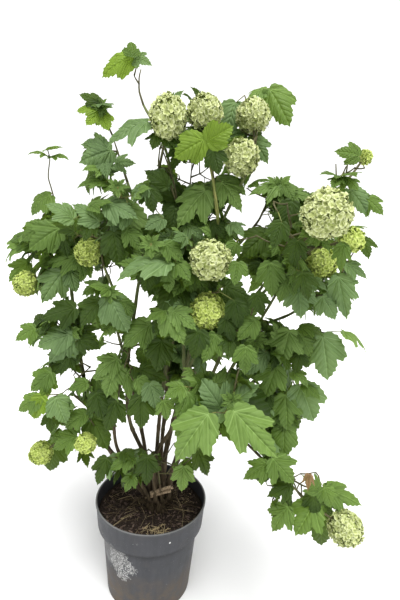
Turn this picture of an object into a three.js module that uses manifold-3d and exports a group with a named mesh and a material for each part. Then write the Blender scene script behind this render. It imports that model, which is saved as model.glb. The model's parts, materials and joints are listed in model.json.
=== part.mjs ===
// Snowball viburnum, a many-stemmed shrub, growing in a nursery pot.
// Millimetres, +Z up, front towards -Y. The origin is the centre of the pot's flat underside.
// Each stem and bough is one tapering limb, and each limb ends where its own mass of foliage begins.
import * as THREE from "three";
import { mergeVertices } from "three/addons/utils/BufferGeometryUtils.js";
import Module from "manifold-3d";

const wasm = await Module();
wasm.setup();

// Pot: a tapered ten-litre container with a deep collar.
const POT_HEIGHT = 256;
const POT_FOOT_RADIUS = 109;
const POT_BODY_RADIUS = 123.5;
const COLLAR_HEIGHT = 65;
const COLLAR_FOOT_RADIUS = 135.7;
const RIM_RADIUS = 140;
const LIP_HEIGHT = 5;
const LIP_OVERHANG = 1.6;
const POT_WALL = 2.5;
const POT_FLOOR = 4;
const FOOT_BEVEL = 2;
const ROUND_SIDES = 36;

// Soil and the stump that the stems rise from.
const SEAT = 0.3;
const SOIL_TOP = 226;
const SOIL_DISH = 5;
const SOIL_SHOULDER = { radius: 100, fall: 2 };
const STUMP_CENTRE = new THREE.Vector2(16, 0);
const STUMP_RADIUS = 37;
const STUMP_HEIGHT = 30;
const STUMP_SIDES = 12;
const SOIL_ROUND_STUMP = 4;
// The stump's rough sides: shares of its height, each with a share of its radius.
const STUMP_LEVELS = [[0, 1], [0.45, 0.93], [0.8, 1.03], [1, 0.97]];

// Limbs.
const LIMB_SIDES = 5;
const LIMB_STEP = 110;
const FORK_SPREAD = 0.9;
const FORK_BEND = 0.3;

// A mass of foliage: its stem ends at the heart, which lies above and within its space's centre.
const HEART_LIFT = 30;
const HEART_HOLD_BACK = 22;
const TWIG_SIDES = 3;
const TWIG_STEPS = 2;
const TWIG_FOOT_RADIUS = 2.6;
const TWIG_TIP_RADIUS = 1.9;
// Shoots reach from the stem's outer part towards the sides of the space, and sag on the way.
const SHOOT_REACH = 0.6;
const SHOOT_LENGTHS = [0.85, 1.15];
const SHOOT_SAG = 0.12;
const FORKED_SHARE = 0.68;
const FIRST_FORK = 0.2;
const STALK_FORKS = { first: 0.45, next: 0.2 };
const SEEDS_A_MASS = 100;
const FIRST_LEAF_SEED = 50;

// Leaves stand in pairs along a shoot, from its tip back to its bare foot.
const NODE_SPACING = 36;
const NODE_SPACINGS = [0.9, 1.1];
const BARE_FOOT = 12;
const BARE_UNDER_BALL = 20;
const LEAF_LENGTH = 98;
const LEAF_THICKNESS = 3;
const LEAF_LENGTHS = [0.85, 1.15];
const LEAF_FORWARD = 0.45;
const YOUNG_LEAF_FORWARD = 0.9;
const LEAF_TWIST = 0.5;
const LEAF_REACH_OUT = 0.5;
const LEAF_HANG = 0.6;
const LEAF_HANGS = [0.4, 1.6];
const LEAF_FACE_UP = 0.7;
const LEAF_FACE_TILT = 0.9;
const BLADE_DROOP = 0.2;
const BLADE_FOLD = 0.14;
// A leaf that doesn't fit is tried smaller, and turned about its shoot.
const LEAF_SIZES = [1, 0.84, 0.68];
const LEAF_SWINGS = [0, 0.6, -0.6, 1.2, -1.2];

// A leaf's outline as [across, along], in shares of its length: its root, then three lobes.
const LEAF_ROOT = [0, 0.004];
const SIDE_LOBE = [0.44, 0.56];
const NOTCH = [0.18, 0.66];
const LEAF_TIP = [0, 1];
const LEAF_HEART = [0, 0.38];
const mirrored = ([across, forward]) => [-across, forward];
const LEAF_RIM = [LEAF_ROOT, SIDE_LOBE, NOTCH, LEAF_TIP, mirrored(NOTCH), mirrored(SIDE_LOBE)];

// Room between the pieces, and how closely it is tested.
const CLEARANCE = 3.4;
const TOUCHING = 1;
const LEAF_SPACING = 26;
const LEAF_TO_BALL = 2;
const TWIG_TO_BALL = 4;
const EDGE_SAMPLES = 4;
const INWARD_SAMPLES = [0, 0.33, 0.67];
const ROD_SAMPLE_STEP = 8;
const SAMPLES_AT_FORK = 2;
const MERGE_DISTANCE = 1e-4;

const GOLDEN_ANGLE = Math.PI * (3 - Math.sqrt(5));
const ALMOST_UPRIGHT = 0.9;
const ALMOST_ALONG_X = 0.8;
const X_AXIS = new THREE.Vector3(1, 0, 0);
const Y_AXIS = new THREE.Vector3(0, 1, 0);
const UP = new THREE.Vector3(0, 0, 1);
const CROWN_AXIS = new THREE.Vector3(60, 20, 0);

// Every limb: what it grows from, its radius at foot and tip, and the points that it passes.
// A stem's foot is a distance and a bearing on the stump; a bough's is a share of its parent's length.
const LIMBS = [
  { name: "stem_left", foot: [27, 192], radii: [6, 3.2], way: [[-55, -14, 318], [-108, -24, 400],
    [-154, -35, 531], [-176, -36, 660], [-203, -22, 840]] },
  { name: "bough_left_mid", parent: "stem_left", at: 0.6, radii: [3.6, 2.8], way: [[-222, -52, 668]] },
  { name: "bough_left_low", parent: "stem_left", at: 0.42, radii: [3.8, 2.8], way: [[-178, -72, 560]] },
  { name: "bough_left_bottom", parent: "stem_left", at: 0.22, radii: [4, 2.8], way: [[-146, -40, 452]] },
  { name: "stem_front_left", foot: [27, 236], radii: [4.6, 2.8], way: [[-30, -42, 330], [-76, -76, 432],
    [-78, -104, 540], [-62, -116, 622]] },
  { name: "stem_upper_left", foot: [16, 165], radii: [5.4, 2.9], way: [[-20, -24, 387], [-54, -44, 490],
    [-62, -42, 620], [-46, -32, 790], [-34, -22, 930], [-74, -18, 1040]] },
  { name: "bough_left_row", parent: "stem_upper_left", at: 0.55, radii: [3.6, 2.8],
    way: [[-80, -62, 780], [-112, -72, 862]] },
  { name: "stem_top", foot: [9, 240], radii: [5.4, 2.4], way: [[12, -18, 383], [15, -20, 489], [24, -8, 608],
    [28, -2, 800], [31, -18, 1008], [3, -20, 1120], [-45, -8, 1200]] },
  { name: "bough_top_left", parent: "stem_top", at: 0.72, radii: [3.2, 2.6], way: [[6, -52, 1032]] },
  { name: "stem_front", foot: [27, 265], radii: [5.6, 3], way: [[9, -34, 392], [44, -52, 470],
    [74, -80, 560], [70, -112, 680], [62, -140, 812]] },
  { name: "bough_centre_mid", parent: "stem_front", at: 0.62, radii: [3.6, 2.8], way: [[106, -136, 724]] },
  { name: "stem_centre", foot: [14, 345], radii: [6.6, 2.9], way: [[31, 2, 368], [43, 8, 439], [63, 8, 550],
    [90, 4, 707], [118, -50, 850], [126, -100, 960], [110, -118, 1052]] },
  { name: "bough_centre_upper", parent: "stem_centre", at: 0.66, radii: [3.6, 2.7], way: [[72, -48, 928]] },
  { name: "bough_crest", parent: "stem_centre", at: 0.7, radii: [3.6, 2.7], way: [[196, -56, 950]] },
  { name: "bough_top_right", parent: "stem_centre", at: 0.84, radii: [3.2, 2.7], way: [[174, -96, 1062]] },
  { name: "stem_right", foot: [31, 340], radii: [5.8, 2.9], way: [[56, -22, 365], [104, -52, 448],
    [176, -78, 570], [282, -98, 676]] },
  { name: "bough_centre_low", parent: "stem_right", at: 0.2, radii: [3.8, 2.8], way: [[116, -140, 500],
    [128, -190, 558]] },
  { name: "bough_right_bottom", parent: "stem_right", at: 0.5, radii: [3.6, 2.7], way: [[236, -92, 560]] },
  { name: "bough_low_right", parent: "stem_right", at: 0.32, radii: [3.8, 2.5], way: [[186, -116, 512],
    [232, -132, 484], [276, -142, 444]] },
  { name: "stem_right_rear", foot: [27, 15], radii: [5.8, 2.9], way: [[72, 22, 400], [128, 22, 560],
    [186, -24, 740], [234, -148, 874]] },
  { name: "bough_right_edge", parent: "stem_right_rear", at: 0.72, radii: [3.6, 2.6],
    way: [[290, -56, 890], [336, -118, 998]] },
  { name: "bough_right_mid", parent: "stem_right_rear", at: 0.6, radii: [3.6, 2.7], way: [[286, -90, 780],
    [300, -132, 806]] },
  { name: "shoot_foot", foot: [27, 300], radii: [3.6, 2.6], way: [[24, -44, 322]] },
  { name: "stem_back_left", foot: [27, 142], radii: [5.4, 3], way: [[-36, 56, 400], [-96, 116, 580],
    [-160, 164, 760]] },
  { name: "stem_back", foot: [27, 92], radii: [5.6, 3], way: [[18, 74, 420], [26, 128, 600],
    [38, 178, 730]] },
  { name: "bough_back_low", parent: "stem_back", at: 0.3, radii: [3.8, 2.8], way: [[50, 130, 480]] },
  { name: "bough_back_top", parent: "stem_back", at: 0.62, radii: [4, 2.8], way: [[52, 110, 800],
    [56, 116, 980]] },
  { name: "stem_back_right", foot: [27, 52], radii: [5.6, 3], way: [[92, 54, 400], [190, 92, 580],
    [292, 112, 780]] },
];

// Every mass of foliage: the limb that bears it, the centre and half-sizes of its space, how many
// shoots it has, the seed of its growth, and its snowballs as centre and diameter.
const MASSES = [
  { name: "foliage_left_edge", limb: "stem_left", centre: [-262, 0, 872], half: [98, 92, 110], shoots: 4,
    seed: 16, balls: [[-305, -10, 801, 56]] },
  { name: "foliage_left_mid", limb: "bough_left_mid", centre: [-204, -46, 702], half: [112, 84, 74],
    shoots: 4, seed: 31, balls: [] },
  { name: "foliage_left_low", limb: "bough_left_low", centre: [-160, -76, 600], half: [124, 90, 78],
    shoots: 4, seed: 1, balls: [] },
  { name: "foliage_left_bottom", limb: "bough_left_bottom", centre: [-204, -56, 462], half: [110, 82, 78],
    shoots: 3, seed: 16, balls: [[-142, -106, 460, 44], [-270, -40, 386, 54]] },
  { name: "foliage_centre_left", limb: "stem_front_left", centre: [-50, -122, 684], half: [96, 90, 120],
    shoots: 4, seed: 16, balls: [] },
  { name: "foliage_upper_left", limb: "stem_upper_left", centre: [-134, -6, 1110], half: [88, 78, 134],
    shoots: 4, seed: 1, balls: [] },
  { name: "foliage_left_row", limb: "bough_left_row", centre: [-118, -80, 918], half: [122, 88, 96],
    shoots: 4, seed: 5, balls: [[-145, -62, 889, 60]] },
  { name: "foliage_top_shoot", limb: "stem_top", centre: [-72, 0, 1256], half: [94, 76, 74], shoots: 3,
    seed: 4, balls: [] },
  { name: "foliage_top_left", limb: "bough_top_left", centre: [-16, -72, 1082], half: [94, 84, 112],
    shoots: 3, seed: 29, balls: [[19, -120, 1159, 74]] },
  { name: "foliage_centre_front", limb: "stem_front", centre: [56, -184, 896], half: [128, 84, 80], shoots: 4,
    seed: 18, balls: [[113, -220, 906, 77]] },
  { name: "foliage_centre_mid", limb: "bough_centre_mid", centre: [122, -176, 782], half: [106, 86, 78],
    shoots: 4, seed: 20, balls: [[114, -190, 805, 68]] },
  { name: "foliage_top_centre", limb: "stem_centre", centre: [88, -120, 1128], half: [84, 78, 82], shoots: 3,
    seed: 19, balls: [[88, -120, 1171, 70]] },
  { name: "foliage_centre_upper", limb: "bough_centre_upper", centre: [84, -62, 984], half: [118, 96, 90],
    shoots: 4, seed: 4, balls: [] },
  { name: "foliage_crest", limb: "bough_crest", centre: [250, -62, 1012], half: [112, 94, 76], shoots: 4,
    seed: 23, balls: [] },
  { name: "foliage_top_right", limb: "bough_top_right", centre: [206, -84, 1150], half: [120, 90, 110],
    shoots: 4, seed: 13, balls: [[183, -70, 1180, 70], [161, -130, 1093, 72]] },
  { name: "foliage_right_low", limb: "stem_right", centre: [306, -118, 706], half: [142, 96, 84], shoots: 5,
    seed: 9, balls: [] },
  { name: "foliage_centre_low", limb: "bough_centre_low", centre: [150, -232, 616], half: [112, 88, 92],
    shoots: 4, seed: 10, balls: [] },
  { name: "foliage_right_bottom", limb: "bough_right_bottom", centre: [286, -104, 520], half: [112, 90, 112],
    shoots: 4, seed: 25, balls: [] },
  { name: "foliage_low_right", limb: "bough_low_right", centre: [350, -152, 392], half: [146, 92, 92],
    shoots: 4, seed: 28, balls: [[444, -170, 330, 78]] },
  { name: "foliage_right_upper", limb: "stem_right_rear", centre: [262, -246, 946], half: [126, 130, 100],
    shoots: 4, seed: 17, balls: [[279, -330, 998, 78], [331, -300, 960, 38], [316, -200, 911, 55]] },
  { name: "foliage_right_edge", limb: "bough_right_edge", centre: [358, -146, 1060], half: [82, 80, 90],
    shoots: 3, seed: 11, balls: [[400, -110, 1108, 26]] },
  { name: "foliage_right_mid", limb: "bough_right_mid", centre: [336, -180, 850], half: [110, 84, 74],
    shoots: 3, seed: 29, balls: [] },
  { name: "foliage_foot", limb: "shoot_foot", centre: [4, -66, 372], half: [152, 96, 72], shoots: 5, seed: 28,
    balls: [] },
  { name: "foliage_back_left", limb: "stem_back_left", centre: [-190, 186, 850], half: [132, 122, 150],
    shoots: 6, seed: 32, balls: [] },
  { name: "foliage_back", limb: "stem_back", centre: [44, 228, 812], half: [136, 114, 130], shoots: 6,
    seed: 14, balls: [] },
  { name: "foliage_back_low", limb: "bough_back_low", centre: [56, 186, 560], half: [160, 104, 110],
    shoots: 5, seed: 29, balls: [] },
  { name: "foliage_back_top", limb: "bough_back_top", centre: [60, 130, 1072], half: [134, 114, 104],
    shoots: 5, seed: 18, balls: [] },
  { name: "foliage_back_right", limb: "stem_back_right", centre: [330, 122, 890], half: [134, 130, 150],
    shoots: 6, seed: 4, balls: [] },
];

const COLOURS = { pot: 0x565a5e, soil: 0x2b2019, stump: 0x6a5642, limb: 0x7a6a50, foliage: 0x4c7a3c };

const vec = (p) => new THREE.Vector3(...p);
const mix = (a, b, share) => a.clone().lerp(b, share);
const along = (from, direction, distance) => from.clone().addScaledVector(direction, distance);
const { degToRad: radians, lerp, mapLinear } = THREE.MathUtils;
const between = ([low, high], share) => lerp(low, high, share);

// A small seeded generator of numbers from 0 to 1.
function seeded(seed) {
  let state = seed >>> 0;
  return () => {
    state = (state + 0x6d2b79f5) >>> 0;
    let t = state;
    t = Math.imul(t ^ (t >>> 15), t | 1);
    t ^= t + Math.imul(t ^ (t >>> 7), t | 61);
    return ((t ^ (t >>> 14)) >>> 0) / 4294967296;
  };
}

// ---- the growth rule: limbs, then the shoots and leaves of each mass ----

// Points of a smooth curve through the given points, about `step` apart.
function smoothPath(points, step) {
  const curve = new THREE.CatmullRomCurve3(points, false, "centripetal");
  return curve.getSpacedPoints(Math.max(2, Math.round(curve.getLength() / step)));
}

function pathLength(path) {
  return path.slice(1).reduce((sum, p, i) => sum + p.distanceTo(path[i]), 0);
}

// The point and the direction at a share of a path's length.
function pointOnPath(path, share) {
  let left = share * pathLength(path);
  for (let i = 1; i < path.length; i++) {
    const length = path[i].distanceTo(path[i - 1]);
    if (left <= length || i === path.length - 1) {
      const direction = path[i].clone().sub(path[i - 1]).normalize();
      return { point: along(path[i - 1], direction, left), direction };
    }
    left -= length;
  }
}

function growLimbs() {
  const grown = new Map();
  for (const limb of LIMBS) {
    const way = limb.way.map(vec);
    if (limb.parent) {
      const parent = grown.get(limb.parent);
      const fork = pointOnPath(parent.path, limb.at);
      const outward = way[0].clone().sub(fork.point).normalize();
      const start = outward.multiplyScalar(FORK_SPREAD).add(fork.direction).normalize();
      const bend = along(fork.point, start, FORK_BEND * fork.point.distanceTo(way[0]));
      way.unshift(fork.point, bend);
    } else {
      const [distance, bearing] = limb.foot;
      const x = STUMP_CENTRE.x + distance * Math.cos(radians(bearing));
      const y = STUMP_CENTRE.y + distance * Math.sin(radians(bearing));
      way.unshift(new THREE.Vector3(x, y, SOIL_TOP + SEAT + STUMP_HEIGHT + SEAT));
    }
    const path = smoothPath(way, LIMB_STEP);
    const radii = path.map((_, i) => between(limb.radii, i / (path.length - 1)));
    grown.set(limb.name, { ...limb, path, radii });
  }
  return grown;
}

// True if p lies inside the mass's own space, which is an ellipsoid.
function inSpace(p, mass) {
  const [hx, hy, hz] = mass.half;
  const [x, y, z] = mass.centre;
  return Math.hypot((p.x - x) / hx, (p.y - y) / hy, (p.z - z) / hz) < 1;
}

// A point of the leaf: the blade folds down on both sides of its midrib and droops towards its tip.
function leafPoint(leaf, [across, forward], lift = 0) {
  const { root, direction, normal, side, length } = leaf;
  const fall = BLADE_DROOP * forward * forward + BLADE_FOLD * Math.abs(across);
  return root.clone()
    .addScaledVector(side, across * length)
    .addScaledVector(direction, forward * length)
    .addScaledVector(normal, lift - fall * length);
}

// Adds the leaf's heart, the faces that fan out from it, and points all over them.
function unfold(leaf) {
  leaf.heart = leafPoint(leaf, LEAF_HEART);
  const rim = LEAF_RIM.map((p) => leafPoint(leaf, p));
  leaf.faces = [];
  leaf.samples = [leaf.heart];
  rim.forEach((p, i) => {
    const next = rim[(i + 1) % rim.length];
    const ab = p.clone().sub(leaf.heart);
    const ac = next.clone().sub(leaf.heart);
    leaf.faces.push({ corner: leaf.heart, ab, ac, normal: ab.clone().cross(ac) });
    for (let s = 0; s < EDGE_SAMPLES; s++) {
      const edge = mix(p, next, s / EDGE_SAMPLES);
      leaf.samples.push(...INWARD_SAMPLES.map((share) => mix(edge, leaf.heart, share)));
    }
  });
  return leaf;
}

// The height of p above a face, or infinity where p isn't over it.
function heightOver(p, { corner, ab, ac, normal }) {
  const from = p.clone().sub(corner);
  const size = normal.lengthSq();
  const u = from.clone().cross(ac).dot(normal) / size;
  const v = ab.clone().cross(from).dot(normal) / size;
  return u >= 0 && v >= 0 && u + v <= 1 ? Math.abs(from.dot(normal)) / Math.sqrt(size) : Infinity;
}

// Two leaves touch if a point of one lies close over a face of the other.
function leavesTouch(one, other, clearance) {
  const over = (a, b) => a.samples.some((p) => b.faces.some((face) => heightOver(p, face) < clearance));
  return over(one, other) || over(other, one);
}

// A limb or twig as points along its axis, each with the radius there.
function rodSamples(path, radii) {
  const count = Math.ceil(pathLength(path) / ROD_SAMPLE_STEP);
  return Array.from({ length: count + 1 }, (_, i) => ({
    p: pointOnPath(path, i / count).point,
    radius: lerp(radii[0], radii.at(-1), i / count),
  }));
}

function leafTouchesRod(leaf, rod, clearance) {
  return rod.some(({ p, radius }) => p.distanceTo(leaf.heart) < LEAF_LENGTH &&
    (leaf.samples.some((q) => q.distanceTo(p) < radius + clearance) ||
    leaf.faces.some((face) => heightOver(p, face) < radius + clearance)));
}

function rodsTouch(one, other, clearance) {
  return one.some((a) => other.some((b) => a.p.distanceTo(b.p) < a.radius + b.radius + clearance));
}

// A leaf fits if it stays in its mass's space, clear of every limb, twig, snowball and other leaf.
function leafFits(leaf, grove, own, shoot) {
  const { mass } = own;
  if (!leaf.samples.every((p) => inSpace(p, mass))) return false;
  if (grove.limbs.some((limb) => leafTouchesRod(leaf, limb.rod, CLEARANCE))) return false;
  for (const other of grove.masses) {
    const near = other.leaves.filter((l) => l.heart.distanceTo(leaf.heart) < LEAF_LENGTH);
    if (near.some((l) => l.heart.distanceTo(leaf.heart) < LEAF_SPACING)) return false;
    if (near.some((l) => leavesTouch(leaf, l, other === own ? TOUCHING : CLEARANCE))) return false;
    const inBall = (p) => other.balls.some((b) => p.distanceTo(b.centre) < b.radius + LEAF_TO_BALL);
    if (leaf.samples.some(inBall)) return false;
    if (other.twigs.some((t) => t !== shoot && leafTouchesRod(leaf, t.rod, CLEARANCE))) return false;
  }
  return true;
}

// A twig's points on a bent line that leaves its parent low and turns up at its tip.
function twigPath(from, to) {
  const bend = along(mix(from, to, 0.5), UP, -SHOOT_SAG * from.distanceTo(to));
  return new THREE.QuadraticBezierCurve3(from, bend, to).getPoints(TWIG_STEPS);
}

function makeTwig(path, radii, start = null) {
  return { path, radii, start, rod: rodSamples(path, radii) };
}

// A twig fits if it stays in its space, clear of all but its own mass's twigs and its bough's tip.
function twigFits(twig, grove, own, bearer) {
  const clear = (rod) => !rodsTouch(twig.rod, rod, CLEARANCE);
  return twig.rod.slice(SAMPLES_AT_FORK).every(({ p }) => inSpace(p, own.mass)) &&
    grove.limbs.every((limb) => clear(limb === bearer ? limb.rod.slice(0, -SAMPLES_AT_FORK) : limb.rod)) &&
    grove.masses.every((other) =>
      (other === own || other.twigs.every((t) => clear(t.rod))) &&
      (other === own || !other.leaves.some((leaf) => leafTouchesRod(leaf, twig.rod, CLEARANCE))) &&
      other.balls.every((b) => twig.rod.every(({ p }) => p.distanceTo(b.centre) > b.radius + TWIG_TO_BALL)));
}

// A leaf's stalk points outward from the shoot and hangs, and its face is turned out and up.
function leafAt(point, axes, angle, forward, hang, tilt, length) {
  const { direction, level, outward } = axes;
  const stalk = level.clone().applyAxisAngle(direction, angle).addScaledVector(direction, forward);
  stalk.addScaledVector(outward, LEAF_REACH_OUT).addScaledVector(UP, -LEAF_HANG * hang).normalize();
  const face = outward.clone().addScaledVector(UP, LEAF_FACE_UP);
  face.addScaledVector(level, LEAF_FACE_TILT * (tilt - 0.5));
  const normal = face.addScaledVector(stalk, -face.dot(stalk)).normalize();
  return unfold({ root: point, direction: stalk, normal, side: stalk.clone().cross(normal), length });
}

// Pairs of leaves face each other across the shoot, each pair a quarter turn from the last.
function growLeaves(shoot, draw, grove, own) {
  const { path, first = 0 } = shoot;
  const length = pathLength(path);
  const tries = LEAF_SIZES.flatMap((share) => LEAF_SWINGS.map((lean) => [share, lean]));
  let turn = draw() * Math.PI;
  let young = first === 0;
  for (let back = first; back < length - BARE_FOOT; ) {
    const { point, direction } = pointOnPath(path, 1 - back / length);
    const reference = Math.abs(direction.z) > ALMOST_UPRIGHT ? X_AXIS : UP;
    const level = direction.clone().cross(reference).normalize();
    const outward = point.clone().sub(CROWN_AXIS).setZ(0).normalize();
    const axes = { direction, level, outward };
    for (const facing of [0, Math.PI]) {
      const [swing, hang, tilt, size] = [draw(), draw(), draw(), draw()];
      const forward = young ? YOUNG_LEAF_FORWARD : LEAF_FORWARD;
      const full = LEAF_LENGTH * between(LEAF_LENGTHS, young ? 0 : size);
      const drop = between(LEAF_HANGS, hang);
      for (const [share, lean] of tries) {
        const angle = turn + facing + LEAF_TWIST * (swing - 0.5) + lean;
        const leaf = leafAt(point, axes, angle, forward, drop, tilt, full * share);
        if (!leafFits(leaf, grove, own, shoot)) continue;
        own.leaves.push(leaf);
        break;
      }
    }
    turn += Math.PI / 2;
    young = false;
    back += NODE_SPACING * between(NODE_SPACINGS, draw());
  }
}

// The frame of a mass: its stem, from just beyond its bough's tip, and a stalk to each snowball.
function growFrame(mass, limbs) {
  const bearer = limbs.find((limb) => limb.name === mass.limb);
  const centre = vec(mass.centre);
  const outward = centre.clone().sub(CROWN_AXIS).setZ(0).normalize();
  const heart = along(along(centre, UP, HEART_LIFT), outward, -HEART_HOLD_BACK);
  const tip = pointOnPath(bearer.path, 1);
  const start = along(tip.point, tip.direction, SEAT);
  const bend = along(start, tip.direction, 0.5 * start.distanceTo(heart));
  const stem = new THREE.QuadraticBezierCurve3(start, bend, heart).getPoints(TWIG_STEPS + 1);
  const own = { mass, bearer, heart, stem, twigs: [], leaves: [], balls: [] };
  own.twigs.push(makeTwig(stem, [bearer.radii.at(-1), TWIG_FOOT_RADIUS], tip.direction));
  mass.balls.forEach(([x, y, z, diameter], k) => {
    const ball = { centre: vec([x, y, z]), radius: diameter / 2 };
    const fork = pointOnPath(stem, STALK_FORKS.first + STALK_FORKS.next * k).point;
    const stalk = makeTwig(twigPath(fork, ball.centre), [TWIG_FOOT_RADIUS, TWIG_TIP_RADIUS]);
    own.balls.push(ball);
    own.twigs.push({ ...stalk, first: ball.radius + BARE_UNDER_BALL });
  });
  return own;
}

// Shoots spread evenly about the heart of the mass, and then the leaves of each twig.
function fillMass(own, grove) {
  const { mass, bearer, heart, stem, twigs } = own;
  const phase = seeded(mass.seed)() * 2 * Math.PI;
  for (let k = 0; k < mass.shoots; k++) {
    const draw = seeded(SEEDS_A_MASS * mass.seed + k);
    const height = 1 - (2 * (k + 0.5)) / mass.shoots;
    const bearing = phase + k * GOLDEN_ANGLE;
    const flat = Math.sqrt(1 - height * height);
    const heading = new THREE.Vector3(flat * Math.cos(bearing), flat * Math.sin(bearing), height);
    const reach = SHOOT_REACH * between(SHOOT_LENGTHS, draw());
    const to = vec(mass.half).multiply(heading).multiplyScalar(reach).add(heart);
    const fork = pointOnPath(stem, 1 - (FORKED_SHARE * (k + FIRST_FORK)) / mass.shoots).point;
    const twig = makeTwig(twigPath(fork, to), [TWIG_FOOT_RADIUS, TWIG_TIP_RADIUS]);
    if (twigFits(twig, grove, own, bearer)) twigs.push(twig);
  }
  const leafSeed = SEEDS_A_MASS * mass.seed + FIRST_LEAF_SEED;
  twigs.forEach((shoot, k) => growLeaves(shoot, seeded(leafSeed + k), grove, own));
}

function growGrove() {
  const limbs = [...growLimbs().values()];
  for (const limb of limbs) limb.rod = rodSamples(limb.path, limb.radii);
  const grove = { limbs, masses: MASSES.map((mass) => growFrame(mass, limbs)) };
  grove.masses.forEach((own) => fillMass(own, grove));
  return grove;
}

// ---- solids ----

function closedGeometry(vertices, faces) {
  const geometry = new THREE.BufferGeometry();
  const numbers = vertices.flatMap((v) => v.toArray());
  geometry.setAttribute("position", new THREE.Float32BufferAttribute(numbers, 3));
  geometry.setIndex(faces.flat());
  return geometry;
}

function solidOf(geometry) {
  const bare = geometry.clone();
  for (const name of Object.keys(bare.attributes)) if (name !== "position") bare.deleteAttribute(name);
  const merged = mergeVertices(bare, MERGE_DISTANCE);
  return new wasm.Manifold(new wasm.Mesh({
    numProp: 3,
    vertProperties: merged.attributes.position.array,
    triVerts: new Uint32Array(merged.index.array),
  }));
}

function geometryOf(solid) {
  const { vertProperties, triVerts } = solid.getMesh();
  const geometry = new THREE.BufferGeometry();
  geometry.setAttribute("position", new THREE.BufferAttribute(vertProperties, 3));
  geometry.setIndex(new THREE.BufferAttribute(triVerts, 1));
  return geometry;
}

// A tapering tube with flat ends. Its first ring is square to `start`, or else to the path.
function tube(path, radii, sides, start = null) {
  const vertices = [];
  const faces = [];
  let side = null;
  path.forEach((p, i) => {
    const before = path[Math.max(0, i - 1)];
    const after = path[Math.min(path.length - 1, i + 1)];
    const tangent = start && i === 0 ? start.clone() : after.clone().sub(before).normalize();
    const reference = side ?? (Math.abs(tangent.x) > ALMOST_ALONG_X ? Y_AXIS : X_AXIS);
    side = reference.clone().addScaledVector(tangent, -reference.dot(tangent)).normalize();
    const other = tangent.clone().cross(side);
    for (let k = 0; k < sides; k++) {
      const angle = (2 * Math.PI * k) / sides;
      vertices.push(along(along(p, side, radii[i] * Math.cos(angle)), other, radii[i] * Math.sin(angle)));
    }
  });
  for (let i = 1; i < path.length; i++) {
    for (let k = 0; k < sides; k++) {
      const [a, b] = [(i - 1) * sides + k, (i - 1) * sides + ((k + 1) % sides)];
      faces.push([a, b, b + sides], [a, b + sides, a + sides]);
    }
  }
  const last = (path.length - 1) * sides;
  for (let k = 1; k < sides - 1; k++) faces.push([0, k + 1, k], [last, last + k, last + k + 1]);
  return closedGeometry(vertices, faces);
}

// A leaf: a thin three-lobed blade, thickest at its heart, whose root is sunk in the twig.
function leafGeometry(leaf) {
  const rim = LEAF_RIM.map((p) => leafPoint(leaf, p));
  const crown = leafPoint(leaf, LEAF_HEART, LEAF_THICKNESS / 2);
  const belly = leafPoint(leaf, LEAF_HEART, -LEAF_THICKNESS / 2);
  const [above, below] = [rim.length, rim.length + 1];
  const faces = rim.flatMap((_, i) => {
    const next = (i + 1) % rim.length;
    return [[above, i, next], [below, next, i]];
  });
  return closedGeometry([...rim, crown, belly], faces);
}

function ballGeometry(ball) {
  const geometry = new THREE.IcosahedronGeometry(ball.radius, 1);
  return geometry.translate(ball.centre.x, ball.centre.y, ball.centre.z);
}

// Joins solids two by two, and keeps the one body that they make.
function joined(solids) {
  while (solids.length > 1) {
    const pairs = [];
    for (let i = 0; i < solids.length; i += 2) {
      pairs.push(i + 1 < solids.length ? solids[i].add(solids[i + 1]) : solids[i]);
    }
    solids = pairs;
  }
  const bodies = solids[0].decompose().sort((a, b) => b.volume() - a.volume());
  return bodies[0];
}

function massGeometry({ twigs, leaves, balls }) {
  const pieces = twigs.map(({ path, radii, start }) => {
    const thickness = path.map((_, i) => between(radii, i / (path.length - 1)));
    return tube(path, thickness, TWIG_SIDES, start);
  });
  pieces.push(...leaves.map(leafGeometry), ...balls.map(ballGeometry));
  return geometryOf(joined(pieces.map(solidOf)));
}

// A bough is cut clear of the stem that it forks from.
function limbGeometry(limb, limbs) {
  const bark = tube(limb.path, limb.radii, LIMB_SIDES, limb.parent ? null : UP);
  if (!limb.parent) return bark;
  const parent = limbs.find(({ name }) => name === limb.parent);
  const wider = parent.radii.map((r) => r + SEAT);
  const clearance = tube(parent.path, wider, LIMB_SIDES, parent.parent ? null : UP);
  return geometryOf(joined([solidOf(bark).subtract(solidOf(clearance))]));
}

function lathe(profile) {
  const points = profile.map(([r, z]) => new THREE.Vector2(r, z));
  return new THREE.LatheGeometry(points, ROUND_SIDES).rotateX(Math.PI / 2);
}

function potGeometry() {
  const ledge = POT_HEIGHT - COLLAR_HEIGHT;
  const lip = POT_HEIGHT - LIP_HEIGHT;
  return lathe([
    [0, 0], [POT_FOOT_RADIUS - FOOT_BEVEL, 0], [POT_FOOT_RADIUS, FOOT_BEVEL], [POT_BODY_RADIUS, ledge],
    [COLLAR_FOOT_RADIUS, ledge], [RIM_RADIUS, lip], [RIM_RADIUS + LIP_OVERHANG, lip],
    [RIM_RADIUS + LIP_OVERHANG, POT_HEIGHT], [RIM_RADIUS - POT_WALL, POT_HEIGHT],
    [COLLAR_FOOT_RADIUS - POT_WALL, ledge + POT_WALL], [POT_BODY_RADIUS - POT_WALL, ledge + POT_WALL],
    [POT_FOOT_RADIUS - POT_WALL, POT_FLOOR], [0, POT_FLOOR],
  ]);
}

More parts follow.
